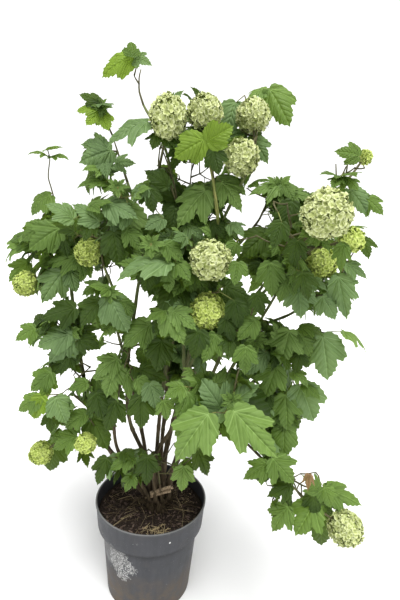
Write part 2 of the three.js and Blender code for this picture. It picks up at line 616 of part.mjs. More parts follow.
function soilGeometry() {
  const ledge = POT_HEIGHT - COLLAR_HEIGHT + POT_WALL;
  const wall = POT_WALL + SEAT;
  const collarAt = (z) => mapLinear(z, ledge, POT_HEIGHT, COLLAR_FOOT_RADIUS, RIM_RADIUS) - wall;
  return lathe([
    [0, POT_FLOOR + SEAT], [POT_FOOT_RADIUS - wall, POT_FLOOR + SEAT], [POT_BODY_RADIUS - wall, ledge + SEAT],
    [collarAt(ledge), ledge + SEAT], [collarAt(SOIL_TOP - SOIL_DISH), SOIL_TOP - SOIL_DISH],
    [SOIL_SHOULDER.radius, SOIL_TOP - SOIL_SHOULDER.fall],
    [STUMP_CENTRE.x + STUMP_RADIUS + SOIL_ROUND_STUMP, SOIL_TOP], [0, SOIL_TOP],
  ]);
}

function stumpGeometry() {
  const foot = new THREE.Vector3(STUMP_CENTRE.x, STUMP_CENTRE.y, SOIL_TOP + SEAT);
  const path = STUMP_LEVELS.map(([share]) => along(foot, UP, share * STUMP_HEIGHT));
  return tube(path, STUMP_LEVELS.map(([, size]) => size * STUMP_RADIUS), STUMP_SIDES);
}

// ---- the scene graph ----

const viburnum = new THREE.Group();

function addMesh(name, geometry, color, roughness) {
  const material = new THREE.MeshStandardMaterial({ color, roughness, metalness: 0 });
  const mesh = new THREE.Mesh(geometry, material);
  mesh.name = name;
  viburnum.add(mesh);
}

addMesh("pot", potGeometry(), COLOURS.pot, 0.55);
addMesh("soil", soilGeometry(), COLOURS.soil, 1);
addMesh("stump", stumpGeometry(), COLOURS.stump, 0.9);
const grove = growGrove();
for (const limb of grove.limbs) addMesh(limb.name, limbGeometry(limb, grove.limbs), COLOURS.limb, 0.85);
for (const own of grove.masses) addMesh(own.mass.name, massGeometry(own), COLOURS.foliage, 0.6);

export default viburnum;
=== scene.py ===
"""Snowball viburnum in its nursery pot: the looks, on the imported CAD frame.

Sizes in the growth rule are millimetres, as in the part's source; meshes are made in metres.
"""
import json
import math

import bpy
import numpy as np
from mathutils import Matrix, Vector

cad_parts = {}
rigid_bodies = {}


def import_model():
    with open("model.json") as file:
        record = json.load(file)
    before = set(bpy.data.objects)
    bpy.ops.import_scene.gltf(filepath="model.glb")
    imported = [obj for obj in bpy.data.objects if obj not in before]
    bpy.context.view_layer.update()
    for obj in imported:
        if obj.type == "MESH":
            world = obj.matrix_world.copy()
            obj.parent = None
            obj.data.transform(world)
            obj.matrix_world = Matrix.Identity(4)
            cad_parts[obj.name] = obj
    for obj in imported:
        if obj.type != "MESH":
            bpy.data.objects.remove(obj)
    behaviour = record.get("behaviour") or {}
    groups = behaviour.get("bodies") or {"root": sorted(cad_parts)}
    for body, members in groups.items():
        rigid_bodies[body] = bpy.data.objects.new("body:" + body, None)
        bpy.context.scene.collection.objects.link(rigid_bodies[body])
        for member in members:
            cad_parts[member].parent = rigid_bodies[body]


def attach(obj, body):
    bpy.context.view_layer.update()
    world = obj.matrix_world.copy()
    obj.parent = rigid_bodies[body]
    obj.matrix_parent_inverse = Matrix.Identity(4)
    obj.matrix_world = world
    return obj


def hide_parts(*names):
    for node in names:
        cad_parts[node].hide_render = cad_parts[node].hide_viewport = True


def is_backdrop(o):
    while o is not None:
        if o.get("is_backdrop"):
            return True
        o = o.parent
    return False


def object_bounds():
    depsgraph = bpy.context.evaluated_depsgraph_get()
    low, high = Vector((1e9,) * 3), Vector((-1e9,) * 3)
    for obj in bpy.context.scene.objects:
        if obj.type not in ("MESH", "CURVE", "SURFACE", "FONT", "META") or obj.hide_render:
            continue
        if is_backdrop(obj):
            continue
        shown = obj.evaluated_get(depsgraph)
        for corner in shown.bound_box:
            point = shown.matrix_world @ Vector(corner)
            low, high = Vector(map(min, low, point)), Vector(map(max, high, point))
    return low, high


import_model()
CAD_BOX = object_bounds()

MM = 0.001
UP = np.array([0.0, 0.0, 1.0])
GOLDEN_ANGLE = math.pi * (3 - math.sqrt(5))
ALMOST_UPRIGHT = 0.9
ALMOST_ALONG_X = 0.8

# ---- the pot, the soil and the foot of the stems, in millimetres ----

POT_HEIGHT = 256
POT_FOOT_RADIUS = 109
POT_BODY_RADIUS = 123.5
COLLAR_HEIGHT = 65
COLLAR_FOOT_RADIUS = 135.7
RIM_RADIUS = 140
LIP_HEIGHT = 5
LIP_OVERHANG = 1.6
POT_WALL = 2.5
POT_FLOOR = 4
SEAT = 0.3
SOIL_TOP = 226
SOIL_DISH = 5
STUMP_CENTRE = (16, 0)
STUMP_RADIUS = 37
STUMP_HEIGHT = 30

# ---- the growth rule's sizes ----

# Two numbers that say how much something varies are its least value and what is added at most.

LIMB_STEP = 110
FORK_SPREAD = 0.9
FORK_BEND = 0.3
STEM_BEND = 0.5
STEM_STEPS = 3
STEM_USED = 0.8
TWIG_STEPS = 2
TWIG_FOOT_RADIUS = 2.2
STALK_RADII = (2.6, 2.0)
STALK_FORKS = (0.45, 0.2)
TWIG_TIP_RADIUS = 1.1
SIDE_TWIG_RADII = (1.7, TWIG_TIP_RADIUS)
SHOOT_REACH = 0.6
SHOOT_REACHES = (0.85, 0.3)
SHOOT_SAG = 0.12
SHOOT_LIFT = 30
SHOOT_HOLD_BACK = 22
FORKED_SHARE = 0.68
FIRST_FORK = 0.2
SEEDS_A_MASS = 100
FIRST_LEAF_SEED = 50
NODE_SPACING = 28
NODE_SPACINGS = (0.85, 0.3)
BARE_FOOT = 8
BARE_UNDER_BALL = 16
LEAF_REACH_OUT = 0.5
LEAF_HANG = 0.6
LEAF_HANGS = (0.4, 1.4)
LEAF_FACE_UP = 0.7
LEAF_FACE_TILT = 0.9
LEAF_TWIST = 0.5
LEAF_FORWARD = 0.45
YOUNG_LEAF_FORWARD = 0.9
PETIOLE_RISE = 0.35
CROWN_AXIS = np.array([60.0, 20.0, 0.0])

# Finer growth than in the solids: side twigs on every shoot, and more and smaller leaves.
SIDE_TWIG_SHARES = (0.4, 0.75)
SIDE_TWIG_LENGTH = 0.52
SIDE_TWIG_LENGTHS = (0.8, 0.4)
SIDE_TWIG_FORWARD = 0.7
SIDE_TWIG_RISE = 0.15
SIDE_TWIG_SPACE = 0.94
LEAF_LENGTH = 80
LEAF_LENGTHS = (0.8, 0.4)
# The leaves nearest a twig's tip are the youngest.
TIP_LEAF_LENGTHS = (0.5, 0.4)
TIP_LEAF_REACH = 6
PETIOLE_SHARE = 0.2
LEAF_SPACING = 24
LEAF_HEART = 0.45
LEAF_TO_BARK = 5
LEAF_TO_BALL = 2
SPACE_SPREAD = 1.12
LEAF_SWINGS = (0, 0.6, -0.6, 1.2, -1.2)
LEAF_SIZES = (1, 0.8, 0.62, 0.48)
# Places on a leaf that are kept in its space: across and along in shares of its length, and how much it
# droops there.
LEAF_REACHES = [(0, 0.1, 0), (0, LEAF_HEART, 0), (0, 0.95, 0.1), (0.45, 0.55, 0.1), (-0.45, 0.55, 0.1)]
# The low lobes of a leaf and the sides of its middle lobe, across and along in shares of its length.
LEAF_LOBES = [(0.38, 0.08), (-0.38, 0.08), (0.24, 0.8), (-0.24, 0.8)]
# Snowballs stand open to the light: how far above one no leaf grows, and how wide, in shares of its radius.
OPEN_HEIGHT = 170
OPEN_WIDTH = 0.8
LIGHT_SIDE = np.array([0.11, -0.37, 0.92])
BALL_IN_VIEW = 0.92

# Leaves that are placed one by one: how much longer than it looks one is, how far its stalk reaches, the
# twig that holds it, and how much of it stays in view.
FORESHORTENED = 1.04
STALK_REACH = 34
STALK_SHARE = 0.6
HOLDING_AHEAD = 0.8
HOLDING_BEND = 0.5
HOLDING_STEPS = 4
HOLDING_BARE = 14
SHOWN_CLEAR = 0.36
BUD_LEAVES = 7
BUD_NARROWS = 0.4
BUD_SPREAD = 0.1
SHOWN_STEM_STEP = 15
THIN_SHOOT_STEP = 20
THIN_SHOOT_FRONT = 0.1
# A twig that bears no leaves of its own: they would begin this far from its tip.
NO_LEAVES = 1e6
PATH_SAMPLES = 12
SPARE_TIP = 0.02
BARK_SAMPLES = 60

# Every limb: what it grows from, its radius at foot and tip, and the points that it passes.
# A stem's foot is a distance and a bearing on the stump; a bough's is a share of its parent's length.
LIMBS = [
    ("stem_left", (27, 192), (6, 3.2), [(-55, -14, 318), (-108, -24, 400), (-154, -35, 531),
     (-176, -36, 660), (-203, -22, 840)]),
    ("bough_left_mid", ("stem_left", 0.6), (3.6, 2.8), [(-222, -52, 668)]),
    ("bough_left_low", ("stem_left", 0.42), (3.8, 2.8), [(-178, -72, 560)]),
    ("bough_left_bottom", ("stem_left", 0.22), (4, 2.8), [(-146, -40, 452)]),
    ("stem_front_left", (27, 236), (4.6, 2.8), [(-30, -42, 330), (-76, -76, 432), (-78, -104, 540),
     (-62, -116, 622)]),
    ("stem_upper_left", (16, 165), (5.4, 2.9), [(-20, -24, 387), (-54, -44, 490), (-62, -42, 620),
     (-46, -32, 790), (-34, -22, 930), (-74, -18, 1040)]),
    ("bough_left_row", ("stem_upper_left", 0.55), (3.6, 2.8), [(-80, -62, 780), (-112, -72, 862)]),
    ("stem_top", (9, 240), (5.4, 2.4), [(12, -18, 383), (15, -20, 489), (24, -8, 608), (28, -2, 800),
     (31, -18, 1008), (3, -20, 1120), (-45, -8, 1200)]),
    ("bough_top_left", ("stem_top", 0.72), (3.2, 2.6), [(6, -52, 1032)]),
    ("stem_front", (27, 265), (5.6, 3), [(9, -34, 392), (44, -52, 470), (74, -80, 560), (70, -112, 680),
     (62, -140, 812)]),
    ("bough_centre_mid", ("stem_front", 0.62), (3.6, 2.8), [(106, -136, 724)]),
    ("stem_centre", (14, 345), (6.6, 2.9), [(31, 2, 368), (43, 8, 439), (63, 8, 550), (90, 4, 707),
     (118, -50, 850), (126, -100, 960), (110, -118, 1052)]),
    ("bough_centre_upper", ("stem_centre", 0.66), (3.6, 2.7), [(72, -48, 928)]),
    ("bough_crest", ("stem_centre", 0.7), (3.6, 2.7), [(196, -56, 950)]),
    ("bough_top_right", ("stem_centre", 0.84), (3.2, 2.7), [(174, -96, 1062)]),
    ("stem_right", (31, 340), (5.8, 2.9), [(56, -22, 365), (104, -52, 448), (176, -78, 570),
     (282, -98, 676)]),
    ("bough_centre_low", ("stem_right", 0.2), (3.8, 2.8), [(116, -140, 500), (128, -190, 558)]),
    ("bough_right_bottom", ("stem_right", 0.5), (3.6, 2.7), [(236, -92, 560)]),
    ("bough_low_right", ("stem_right", 0.32), (3.8, 2.5), [(186, -116, 512), (232, -132, 484),
     (276, -142, 444)]),
    ("stem_right_rear", (27, 15), (5.8, 2.9), [(72, 22, 400), (128, 22, 560), (186, -24, 740),
     (234, -148, 874)]),
    ("bough_right_edge", ("stem_right_rear", 0.72), (3.6, 2.6), [(290, -56, 890), (336, -118, 998)]),
    ("bough_right_mid", ("stem_right_rear", 0.6), (3.6, 2.7), [(286, -90, 780), (300, -132, 806)]),
    ("shoot_foot", (27, 300), (3.6, 2.6), [(24, -44, 322)]),
    ("stem_back_left", (27, 142), (5.4, 3), [(-36, 56, 400), (-96, 116, 580), (-160, 164, 760)]),
    ("stem_back", (27, 92), (5.6, 3), [(18, 74, 420), (26, 128, 600), (38, 178, 730)]),
    ("bough_back_low", ("stem_back", 0.3), (3.8, 2.8), [(50, 130, 480)]),
    ("bough_back_top", ("stem_back", 0.62), (4, 2.8), [(52, 110, 800), (56, 116, 980)]),
    ("stem_back_right", (27, 52), (5.6, 3), [(92, 54, 400), (190, 92, 580), (292, 112, 780)]),
]

# Every mass: its limb, the centre and half-sizes of its space, how many shoots it has, the seed of its
# growth, and its snowballs as centre and diameter.
MASSES = [
    ("foliage_left_edge", "stem_left", (-262, 0, 872), (98, 92, 110), 4, 16, [(-305, -10, 801, 56)]),
    ("foliage_left_mid", "bough_left_mid", (-204, -46, 702), (112, 84, 74), 4, 31, []),
    ("foliage_left_low", "bough_left_low", (-160, -76, 600), (124, 90, 78), 4, 1, []),
    ("foliage_left_bottom", "bough_left_bottom", (-204, -56, 462), (110, 82, 78),
     3, 16, [(-142, -106, 460, 44), (-270, -40, 386, 54)]),
    ("foliage_centre_left", "stem_front_left", (-50, -122, 684), (96, 90, 120), 4, 16, []),
    ("foliage_upper_left", "stem_upper_left", (-134, -6, 1110), (88, 78, 134), 4, 1, []),
    ("foliage_left_row", "bough_left_row", (-118, -80, 918), (122, 88, 96), 4, 5, [(-145, -62, 889, 60)]),
    ("foliage_top_shoot", "stem_top", (-72, 0, 1256), (94, 76, 74), 3, 4, []),
    ("foliage_top_left", "bough_top_left", (-16, -72, 1082), (94, 84, 112), 3, 29, [(19, -120, 1159, 74)]),
    ("foliage_centre_front", "stem_front", (56, -184, 896), (128, 84, 80), 4, 18, [(113, -220, 906, 77)]),
    ("foliage_centre_mid", "bough_centre_mid", (122, -176, 782), (106, 86, 78),
     4, 20, [(114, -190, 805, 68)]),
    ("foliage_top_centre", "stem_centre", (88, -120, 1128), (84, 78, 82), 3, 19, [(88, -120, 1171, 70)]),
    ("foliage_centre_upper", "bough_centre_upper", (84, -62, 984), (118, 96, 90), 4, 4, []),
    ("foliage_crest", "bough_crest", (250, -62, 1012), (112, 94, 76), 4, 23, []),
    ("foliage_top_right", "bough_top_right", (206, -84, 1150), (120, 90, 110),
     4, 13, [(183, -70, 1180, 70), (161, -130, 1093, 72)]),
    ("foliage_right_low", "stem_right", (306, -118, 706), (142, 96, 84), 5, 9, []),
    ("foliage_centre_low", "bough_centre_low", (150, -232, 616), (112, 88, 92), 4, 10, []),
    ("foliage_right_bottom", "bough_right_bottom", (286, -104, 520), (112, 90, 112), 4, 25, []),
    ("foliage_low_right", "bough_low_right", (350, -152, 392), (146, 92, 92),
     4, 28, [(444, -170, 330, 78)]),
    ("foliage_right_upper", "stem_right_rear", (262, -246, 946), (126, 130, 100),
     4, 17, [(279, -330, 998, 78), (331, -300, 960, 38), (316, -200, 911, 55)]),
    ("foliage_right_edge", "bough_right_edge", (358, -146, 1060), (82, 80, 90),
     3, 11, [(400, -110, 1108, 26)]),
    ("foliage_right_mid", "bough_right_mid", (336, -180, 850), (110, 84, 74), 3, 29, []),
    ("foliage_foot", "shoot_foot", (4, -66, 372), (152, 96, 72), 5, 28, []),
    ("foliage_back_left", "stem_back_left", (-190, 186, 850), (132, 122, 150), 6, 32, []),
    ("foliage_back", "stem_back", (44, 228, 812), (136, 114, 130), 6, 14, []),
    ("foliage_back_low", "bough_back_low", (56, 186, 560), (160, 104, 110), 5, 29, []),
    ("foliage_back_top", "bough_back_top", (60, 130, 1072), (134, 114, 104), 5, 18, []),
    ("foliage_back_right", "stem_back_right", (330, 122, 890), (134, 130, 150), 6, 4, []),
]

# Snowballs under this diameter are young: tighter and a yellower green.
YOUNG_BALL = 69
# Masses whose leaves are smaller than the others'.
SMALL_LEAVED = {"foliage_right_upper", "foliage_right_mid", "foliage_foot", "foliage_low_right"}
SMALL_LEAF_SHARE = 0.72

# ---- the camera of the photograph, in the part's frame ----

CAMERA_PLACE = np.array([97.8, -984.1, 1001.0])
CAMERA_DOWN = math.radians(12.47)
CAMERA_ROLL = math.radians(3.23)
PICTURE_SIZE = (400, 600)
PICTURE_SCALE = 430
SENSOR = 36

# Places below that are given by pixel are in the picture of 400 x 600.
# The crown's outline, which grown leaves keep within. It goes on past the picture's left and right
# edges, where the photograph is cut off.
CROWN_OUTLINE = [
    (152, 123), (160, 98), (180, 95), (196, 92), (222, 99), (238, 104), (252, 96), (270, 108), (270, 126),
    (264, 140), (270, 160), (258, 173), (264, 178), (288, 180), (302, 187), (316, 190), (334, 186),
    (350, 188), (372, 194), (392, 212), (396, 240), (388, 262), (368, 272), (366, 284), (356, 290),
    (356, 304), (346, 318), (326, 316), (308, 314), (302, 326), (322, 330), (340, 334), (343, 350),
    (330, 376), (318, 358), (302, 368), (312, 384), (318, 404), (300, 424), (294, 440), (292, 458),
    (292, 478), (312, 476), (342, 480), (356, 502), (338, 508), (326, 540), (304, 534), (292, 520),
    (270, 528), (268, 488), (246, 480), (246, 464), (262, 456), (240, 454), (222, 424), (212, 462),
    (192, 472), (190, 486), (172, 488), (166, 472), (150, 486), (118, 490), (92, 482), (92, 462),
    (106, 448), (84, 456), (64, 446), (52, 466), (28, 462), (12, 444), (14, 400), (6, 366), (8, 330),
    (16, 302), (6, 284), (4, 246), (14, 224), (34, 222), (50, 204), (76, 198), (92, 202), (80, 186),
    (86, 176), (80, 158), (80, 144), (100, 138), (112, 148), (132, 156), (134, 170), (120, 174),
    (134, 184), (148, 176), (156, 166), (176, 164), (164, 148),
]

# Where the sky shows through the crown: centre, half-width and half-height of each gap.
SKY_GAPS = [
    (182, 170, 9, 10), (207, 168, 10, 11), (198, 178, 10, 5), (255, 214, 17, 17), (243, 206, 6, 8),
    (232, 212, 5, 8), (211, 218, 5, 6), (156, 208, 6, 8), (146, 208, 4, 8), (163, 224, 4, 8),
    (120, 205, 7, 3), (104, 227, 4, 5), (84, 212, 4, 3), (140, 258, 8, 5), (112, 268, 9, 10),
    (124, 286, 11, 9), (139, 300, 9, 16), (146, 318, 5, 8), (76, 291, 6, 10), (90, 275, 6, 6),
    (46, 302, 7, 8), (34, 306, 5, 5), (56, 329, 5, 4), (92, 329, 8, 6), (112, 342, 9, 7),
    (90, 364, 9, 14), (110, 356, 6, 5), (66, 384, 10, 8), (74, 402, 6, 5), (34, 353, 6, 4),
    (40, 425, 8, 7), (138, 354, 5, 7), (146, 366, 6, 3), (118, 402, 4, 5), (130, 390, 7, 4),
    (122, 438, 17, 14), (148, 436, 10, 16), (164, 440, 5, 14), (168, 428, 4, 10), (184, 352, 5, 4),
    (208, 366, 5, 5), (218, 330, 8, 3), (226, 362, 3, 6), (241, 312, 4, 4), (277, 304, 9, 7),
    (288, 320, 8, 9), (262, 300, 5, 6), (312, 336, 4, 6), (322, 316, 5, 5), (290, 393, 3, 5),
    (300, 380, 4, 5), (267, 415, 5, 7), (358, 219, 9, 8), (358, 257, 9, 6), (302, 496, 9, 14),
    (262, 494, 12, 10), (322, 496, 5, 4), (296, 470, 5, 12), (244, 452, 12, 6), (232, 450, 6, 6),
    (176, 454, 10, 4), (200, 484, 8, 10), (165, 490, 18, 18), (150, 505, 50, 18),
    (167, 464, 5, 16), (186, 176, 8, 8), (222, 172, 4, 8), (262, 200, 8, 8), (236, 202, 5, 8),
]

# Leaves that stand out at the front, mass by mass: their colour, the pixels of their root and of their
# tip, and how far they face the camera (1) or lie level (0). Where it isn't the usual, also how far they
# stand in front of the middle of their mass, in shares of its depth, and how wide they are.
# Among them a deep leaf is painted dark as shade, and a blue one is painted with the sky's sheen.
SHOWN_LEAVES = {
    "foliage_top_shoot": [
        ("bright", 133, 58, 103, 70, 0.6, 0.5, 0.9), ("blue", 134, 59, 149, 62, 0.7),
        ("blue", 133, 58, 131, 43, 0.2),
    ],
    "foliage_upper_left": [
        ("deep", 102, 105, 83, 93, 0.6, 0.5, 0.8), ("blue", 101, 104, 112, 106, 0.4),
        ("bright", 101, 112, 79, 109, 0.5), ("bright", 100, 113, 88, 123, 0.6),
        ("bright", 101, 113, 109, 128, 0.7), ("blue", 112, 150, 82, 160, 0.9),
        ("blue", 107, 148, 84, 142, 0.8), ("blue", 115, 163, 135, 163, 0.8),
        ("mid", 107, 183, 80, 181, 0.35), ("mid", 106, 184, 118, 191, 0.5),
        ("fresh", 102, 170, 88, 167, 0.5), ("blue", 104, 160, 106, 175, 0.8),
        ("deep", 122, 186, 126, 198, 0.6),
    ],
    "foliage_left_row": [
        ("blue", 74, 220, 51, 203, 0.5), ("blue", 100, 222, 76, 205, 0.6),
        ("blue", 106, 203, 138, 216, 0.6), ("fresh", 132, 196, 146, 184, 0.5),
        ("deep", 148, 187, 153, 212, 0.9), ("deep", 114, 232, 118, 265, 0.9),
        ("deep", 100, 236, 106, 266, 0.9, -0.3), ("blue", 164, 219, 146, 228, 0.6),
        ("mid", 126, 230, 140, 250, 0.8), ("blue", 130, 214, 108, 224, 0.6),
        ("blue", 147, 187, 134, 199, 0.6), ("mid", 88, 206, 112, 199, 0.4),
        ("deep", 92, 222, 84, 236, 0.7),
    ],
    "foliage_left_edge": [
        ("mid", 60, 228, 32, 246, 0.8), ("mid", 78, 256, 47, 262, 0.6), ("blue", 63, 272, 43, 298, 0.9),
        ("blue", 70, 270, 76, 290, 0.8), ("mid", 44, 226, 22, 236, 0.7),
        ("deep", 62, 236, 68, 256, 0.8), ("mid", 80, 258, 84, 274, 0.7),
        ("mid", 28, 262, 12, 280, 0.8, -0.3), ("mid", 89, 264, 80, 278, 0.7),
    ],
    "foliage_top_left": [
        ("blue", 148, 122, 107, 135, 0.35, 0.5, 0.9), ("deep", 168, 187, 149, 170, 0.8, 0.5, 0.9),
        ("deep", 160, 134, 152, 146, 0.5), ("blue", 172, 108, 178, 92, 0.5, -0.8),
        ("deep", 180, 148, 173, 169, 0.6, 0),
    ],
    "foliage_top_centre": [
        ("bright", 204, 140, 177, 155, 0.9), ("bright", 207, 142, 231, 127, 0.9),
        ("deep", 213, 150, 220, 173, 0.9), ("deep", 194, 106, 187, 94, 0.5, -0.8),
        ("deep", 204, 106, 199, 89, 0.5, -0.8),
    ],
    "foliage_top_right": [
        ("fresh", 267, 88, 243, 98, 0.35, -0.9), ("mid", 269, 89, 290, 124, 0.75, -0.7),
        ("blue", 253, 140, 268, 160, 0.8, -0.2), ("blue", 236, 102, 224, 136, 0.7, -0.4),
    ],
    "foliage_centre_upper": [
        ("fresh", 206, 190, 176, 222, 0.55), ("blue", 208, 191, 208, 217, 0.7),
        ("fresh", 221, 182, 243, 208, 0.55), ("blue", 186, 224, 204, 238, 0.5),
        ("deep", 176, 208, 172, 234, 0.8), ("blue", 230, 224, 243, 232, 0.5),
        ("deep", 212, 222, 226, 236, 0.6),
    ],
    "foliage_crest": [
        ("fresh", 281, 186, 250, 190, 0.45), ("deep", 277, 190, 266, 207, 0.8),
        ("fresh", 287, 195, 311, 198, 0.5), ("deep", 297, 204, 272, 224, 0.8),
        ("deep", 268, 234, 242, 254, 0.8), ("deep", 300, 230, 276, 252, 0.8),
        ("mid", 283, 184, 292, 198, 0.5), ("blue", 284, 226, 268, 234, 0.4),
        ("deep", 292, 201, 283, 232, 0.9, 0.95),
    ],
    "foliage_right_upper": [
        ("mid", 343, 243, 340, 270, 0.8, 0.5, 0.7), ("deep", 302, 272, 308, 298, 0.8),
        ("deep", 298, 240, 292, 266, 0.8), ("deep", 282, 222, 272, 246, 0.8),
    ],
    "foliage_right_edge": [
        ("mid", 360, 156, 338, 150, 0.8), ("mid", 340, 178, 322, 169, 0.3),
        ("mid", 342, 177, 331, 186, 0.4), ("mid", 343, 178, 356, 185, 0.4),
        ("mid", 344, 176, 352, 170, 0.4), ("blue", 349, 189, 368, 212, 0.6),
        ("mid", 366, 198, 382, 212, 0.6),
    ],
    "foliage_right_mid": [
        ("mid", 271, 262, 270, 294, 0.9), ("blue", 298, 286, 302, 315, 0.9),
        ("blue", 338, 276, 346, 315, 0.9, 0.5, 0.72), ("blue", 322, 296, 334, 317, 0.8),
        ("blue", 345, 264, 367, 273, 0.5), ("mid", 288, 276, 280, 300, 0.8),
        ("deep", 362, 238, 368, 255, 0.6),
    ],
    "foliage_centre_front": [
        ("blue", 170, 262, 120, 274, 0.3, 0.5, 0.8), ("mid", 166, 264, 170, 290, 0.8),
        ("mid", 176, 262, 187, 277, 0.7), ("mid", 164, 244, 184, 258, 0.6),
        ("mid", 238, 262, 236, 282, 0.8), ("deep", 150, 268, 146, 286, 0.7),
    ],
    "foliage_centre_mid": [
        ("fresh", 167, 310, 181, 342, 0.85), ("fresh", 172, 311, 196, 326, 0.7),
        ("mid", 166, 310, 150, 318, 0.6), ("deep", 200, 330, 194, 356, 0.9),
        ("mid", 216, 334, 204, 360, 0.8), ("deep", 234, 300, 240, 326, 0.8),
        ("mid", 256, 320, 238, 338, 0.8), ("deep", 226, 318, 232, 340, 0.8),
        ("deep", 256, 293, 262, 314, 0.8),
    ],
    "foliage_centre_left": [
        ("deep", 101, 284, 86, 291, 0.6), ("blue", 109, 296, 124, 330, 0.9),
        ("mid", 151, 324, 124, 342, 0.8), ("deep", 101, 300, 82, 322, 0.8),
        ("deep", 162, 340, 158, 368, 0.9), ("mid", 110, 290, 96, 284, 0.5),
        ("mid", 122, 300, 131, 318, 0.8), ("deep", 142, 394, 142, 424, 0.9),
        ("fresh", 163, 400, 168, 418, 0.6), ("blue", 150, 383, 156, 406, 0.8),
    ],
    "foliage_left_mid": [
        ("deep", 76, 308, 46, 318, 0.7), ("blue", 74, 335, 52, 361, 0.9),
        ("blue", 70, 334, 40, 343, 0.7), ("mid", 46, 374, 46, 397, 0.9),
        ("deep", 78, 340, 100, 348, 0.7), ("deep", 70, 354, 62, 372, 0.7),
        ("mid", 36, 328, 18, 338, 0.7), ("mid", 52, 372, 32, 388, 0.7),
    ],
    "foliage_left_low": [
        ("fresh", 118, 358, 96, 374, 0.8), ("fresh", 116, 364, 108, 393, 0.85),
        ("mid", 88, 383, 70, 388, 0.7), ("blue", 56, 397, 64, 421, 0.8),
        ("bright", 42, 396, 34, 416, 0.6), ("deep", 116, 400, 108, 428, 0.9),
        ("deep", 96, 392, 104, 416, 0.9), ("mid", 40, 398, 20, 408, 0.7),
    ],
    "foliage_centre_low": [
        ("fresh", 209, 413, 179, 454, 0.9, 0.8, 0.9), ("fresh", 233, 410, 269, 452, 0.9, 0.8, 0.8),
        ("blue", 222, 411, 203, 379, 0.85, 0.2, 1.15), ("blue", 228, 408, 254, 386, 0.7, 0.1),
        ("mid", 246, 346, 244, 372, 0.9), ("mid", 184, 386, 168, 396, 0.6),
    ],
    "foliage_left_bottom": [
        ("mid", 77, 436, 56, 447, 0.7), ("mid", 92, 416, 106, 446, 0.8, 0),
        ("deep", 50, 414, 50, 430, 0.8), ("deep", 56, 442, 50, 468, 0.7, -0.9),
        ("mid", 86, 414, 66, 424, 0.6), ("deep", 84, 450, 86, 460, 0.6, 0),
    ],
    "foliage_right_low": [
        ("fresh", 289, 330, 282, 362, 0.9), ("mid", 297, 330, 312, 354, 0.8),
        ("blue", 322, 335, 329, 374, 0.9), ("fresh", 342, 331, 367, 343, 0.05),
        ("mid", 300, 328, 322, 330, 0.3), ("mid", 276, 366, 266, 396, 0.9),
        ("deep", 300, 352, 296, 372, 0.8),
    ],
    "foliage_right_bottom": [
        ("mid", 285, 394, 288, 425, 0.9), ("blue", 300, 385, 313, 417, 0.9),
        ("mid", 284, 426, 284, 454, 0.8), ("deep", 268, 392, 262, 410, 0.8),
        ("fresh", 292, 372, 306, 382, 0.3), ("mid", 304, 384, 316, 392, 0.3),
    ],
    "foliage_low_right": [
        ("mid", 268, 464, 246, 478, 0.8), ("mid", 272, 458, 290, 480, 0.8),
        ("deep", 291, 485, 269, 494, 0.8), ("mid", 288, 506, 274, 528, 0.8),
        ("mid", 314, 503, 299, 531, 0.85), ("deep", 317, 506, 323, 541, 0.9, -0.5),
        ("deep", 313, 492, 316, 512, 0.8), ("mid", 319, 492, 307, 476, 0.7),
        ("mid", 324, 489, 356, 503, 0.35, -0.4), ("mid", 324, 487, 330, 504, 0.7),
        ("withered", 309, 474, 308, 484, 0.8, 0.6, 0.6), ("deep", 322, 490, 338, 506, 0.7, -0.5),
        ("mid", 316, 496, 330, 512, 0.8, -0.3),
    ],
    "foliage_foot": [
        ("deep", 107, 457, 97, 482, 0.8, 0.5, 0.8), ("mid", 134, 456, 113, 468, 0.7, 0.5, 0.85),
        ("mid", 133, 474, 126, 490, 0.8, 0.5, 0.9), ("deep", 147, 456, 148, 482, 0.9, 0.6, 0.85),
        ("fresh", 184, 466, 182, 488, 0.8, 0.5, 0.95), ("deep", 198, 450, 208, 472, 0.8, 0.5, 0.9),
        ("deep", 122, 452, 134, 458, 0.6),
    ],
}

# Opening buds: the pixel of each, and how long its little leaves are in millimetres.
BUDS = {
    "foliage_centre_front": (151, 245, 26),
    "foliage_crest": (279, 189, 34), "foliage_centre_low": (232, 402, 24),
    "foliage_right_low": (255, 341, 30), "foliage_upper_left": (101, 108, 24),
    "foliage_left_row": (118, 188, 24), "foliage_centre_left": (110, 293, 24),
}

# Stems that show between the leaves: the mass that each belongs to, its radius, how far it stands in front
# of the middle of the mass, whether its bark is green, and its pixels from its foot up.
SHOWN_STEMS = [
    ("foliage_top_centre", 2.9, 0.4, True, [(220, 240), (218, 212), (214, 184), (208, 158), (203, 137)]),
    ("foliage_top_left", 2.6, 0.1, False, [(177, 204), (174, 184), (167, 162), (161, 146)]),
]
STEM_CLEAR = 9

# How far shown leaves usually stand in front of the middle of their mass, and their usual width.
SHOWN_FRONT = 0.5
SHOWN_USUAL = (SHOWN_FRONT, 1)
SHOWN_SHORTEST = 42

# The thin shoot at the far left, with its few leaves.
THIN_SHOOT = [(72, 228), (57, 212), (53, 194), (48, 175), (50, 160), (47, 148)]
THIN_SHOOT_LEAVES = [
    ("mid", 48, 156, 33, 151, 0.25), ("mid", 50, 157, 69, 156, 0.3), ("mid", 51, 195, 31, 210, 0.4),
    ("fresh", 48, 150, 56, 145, 0.4),
]


def varied(variation, share):
    """A value at a share of how much it varies."""
    least, added = variation
    return least + added * share


def seeded(seed):
    """A small generator of numbers from 0 to 1, alike in the part's source."""
    mask = 0xFFFFFFFF
    state = seed & mask

    def draw():
        nonlocal state
        state = (state + 0x6D2B79F5) & mask
        t = state
        t = ((t ^ (t >> 15)) * (t | 1)) & mask
        t ^= (t + (((t ^ (t >> 7)) * (t | 61)) & mask)) & mask
        return (t ^ (t >> 14)) / (mask + 1)

    return draw


# ---- paths ----

CURVE_SAMPLES = 60


def vec(*xyz):
    return np.array(xyz, float)


def unit(v):
    return v / (np.linalg.norm(v) or 1)


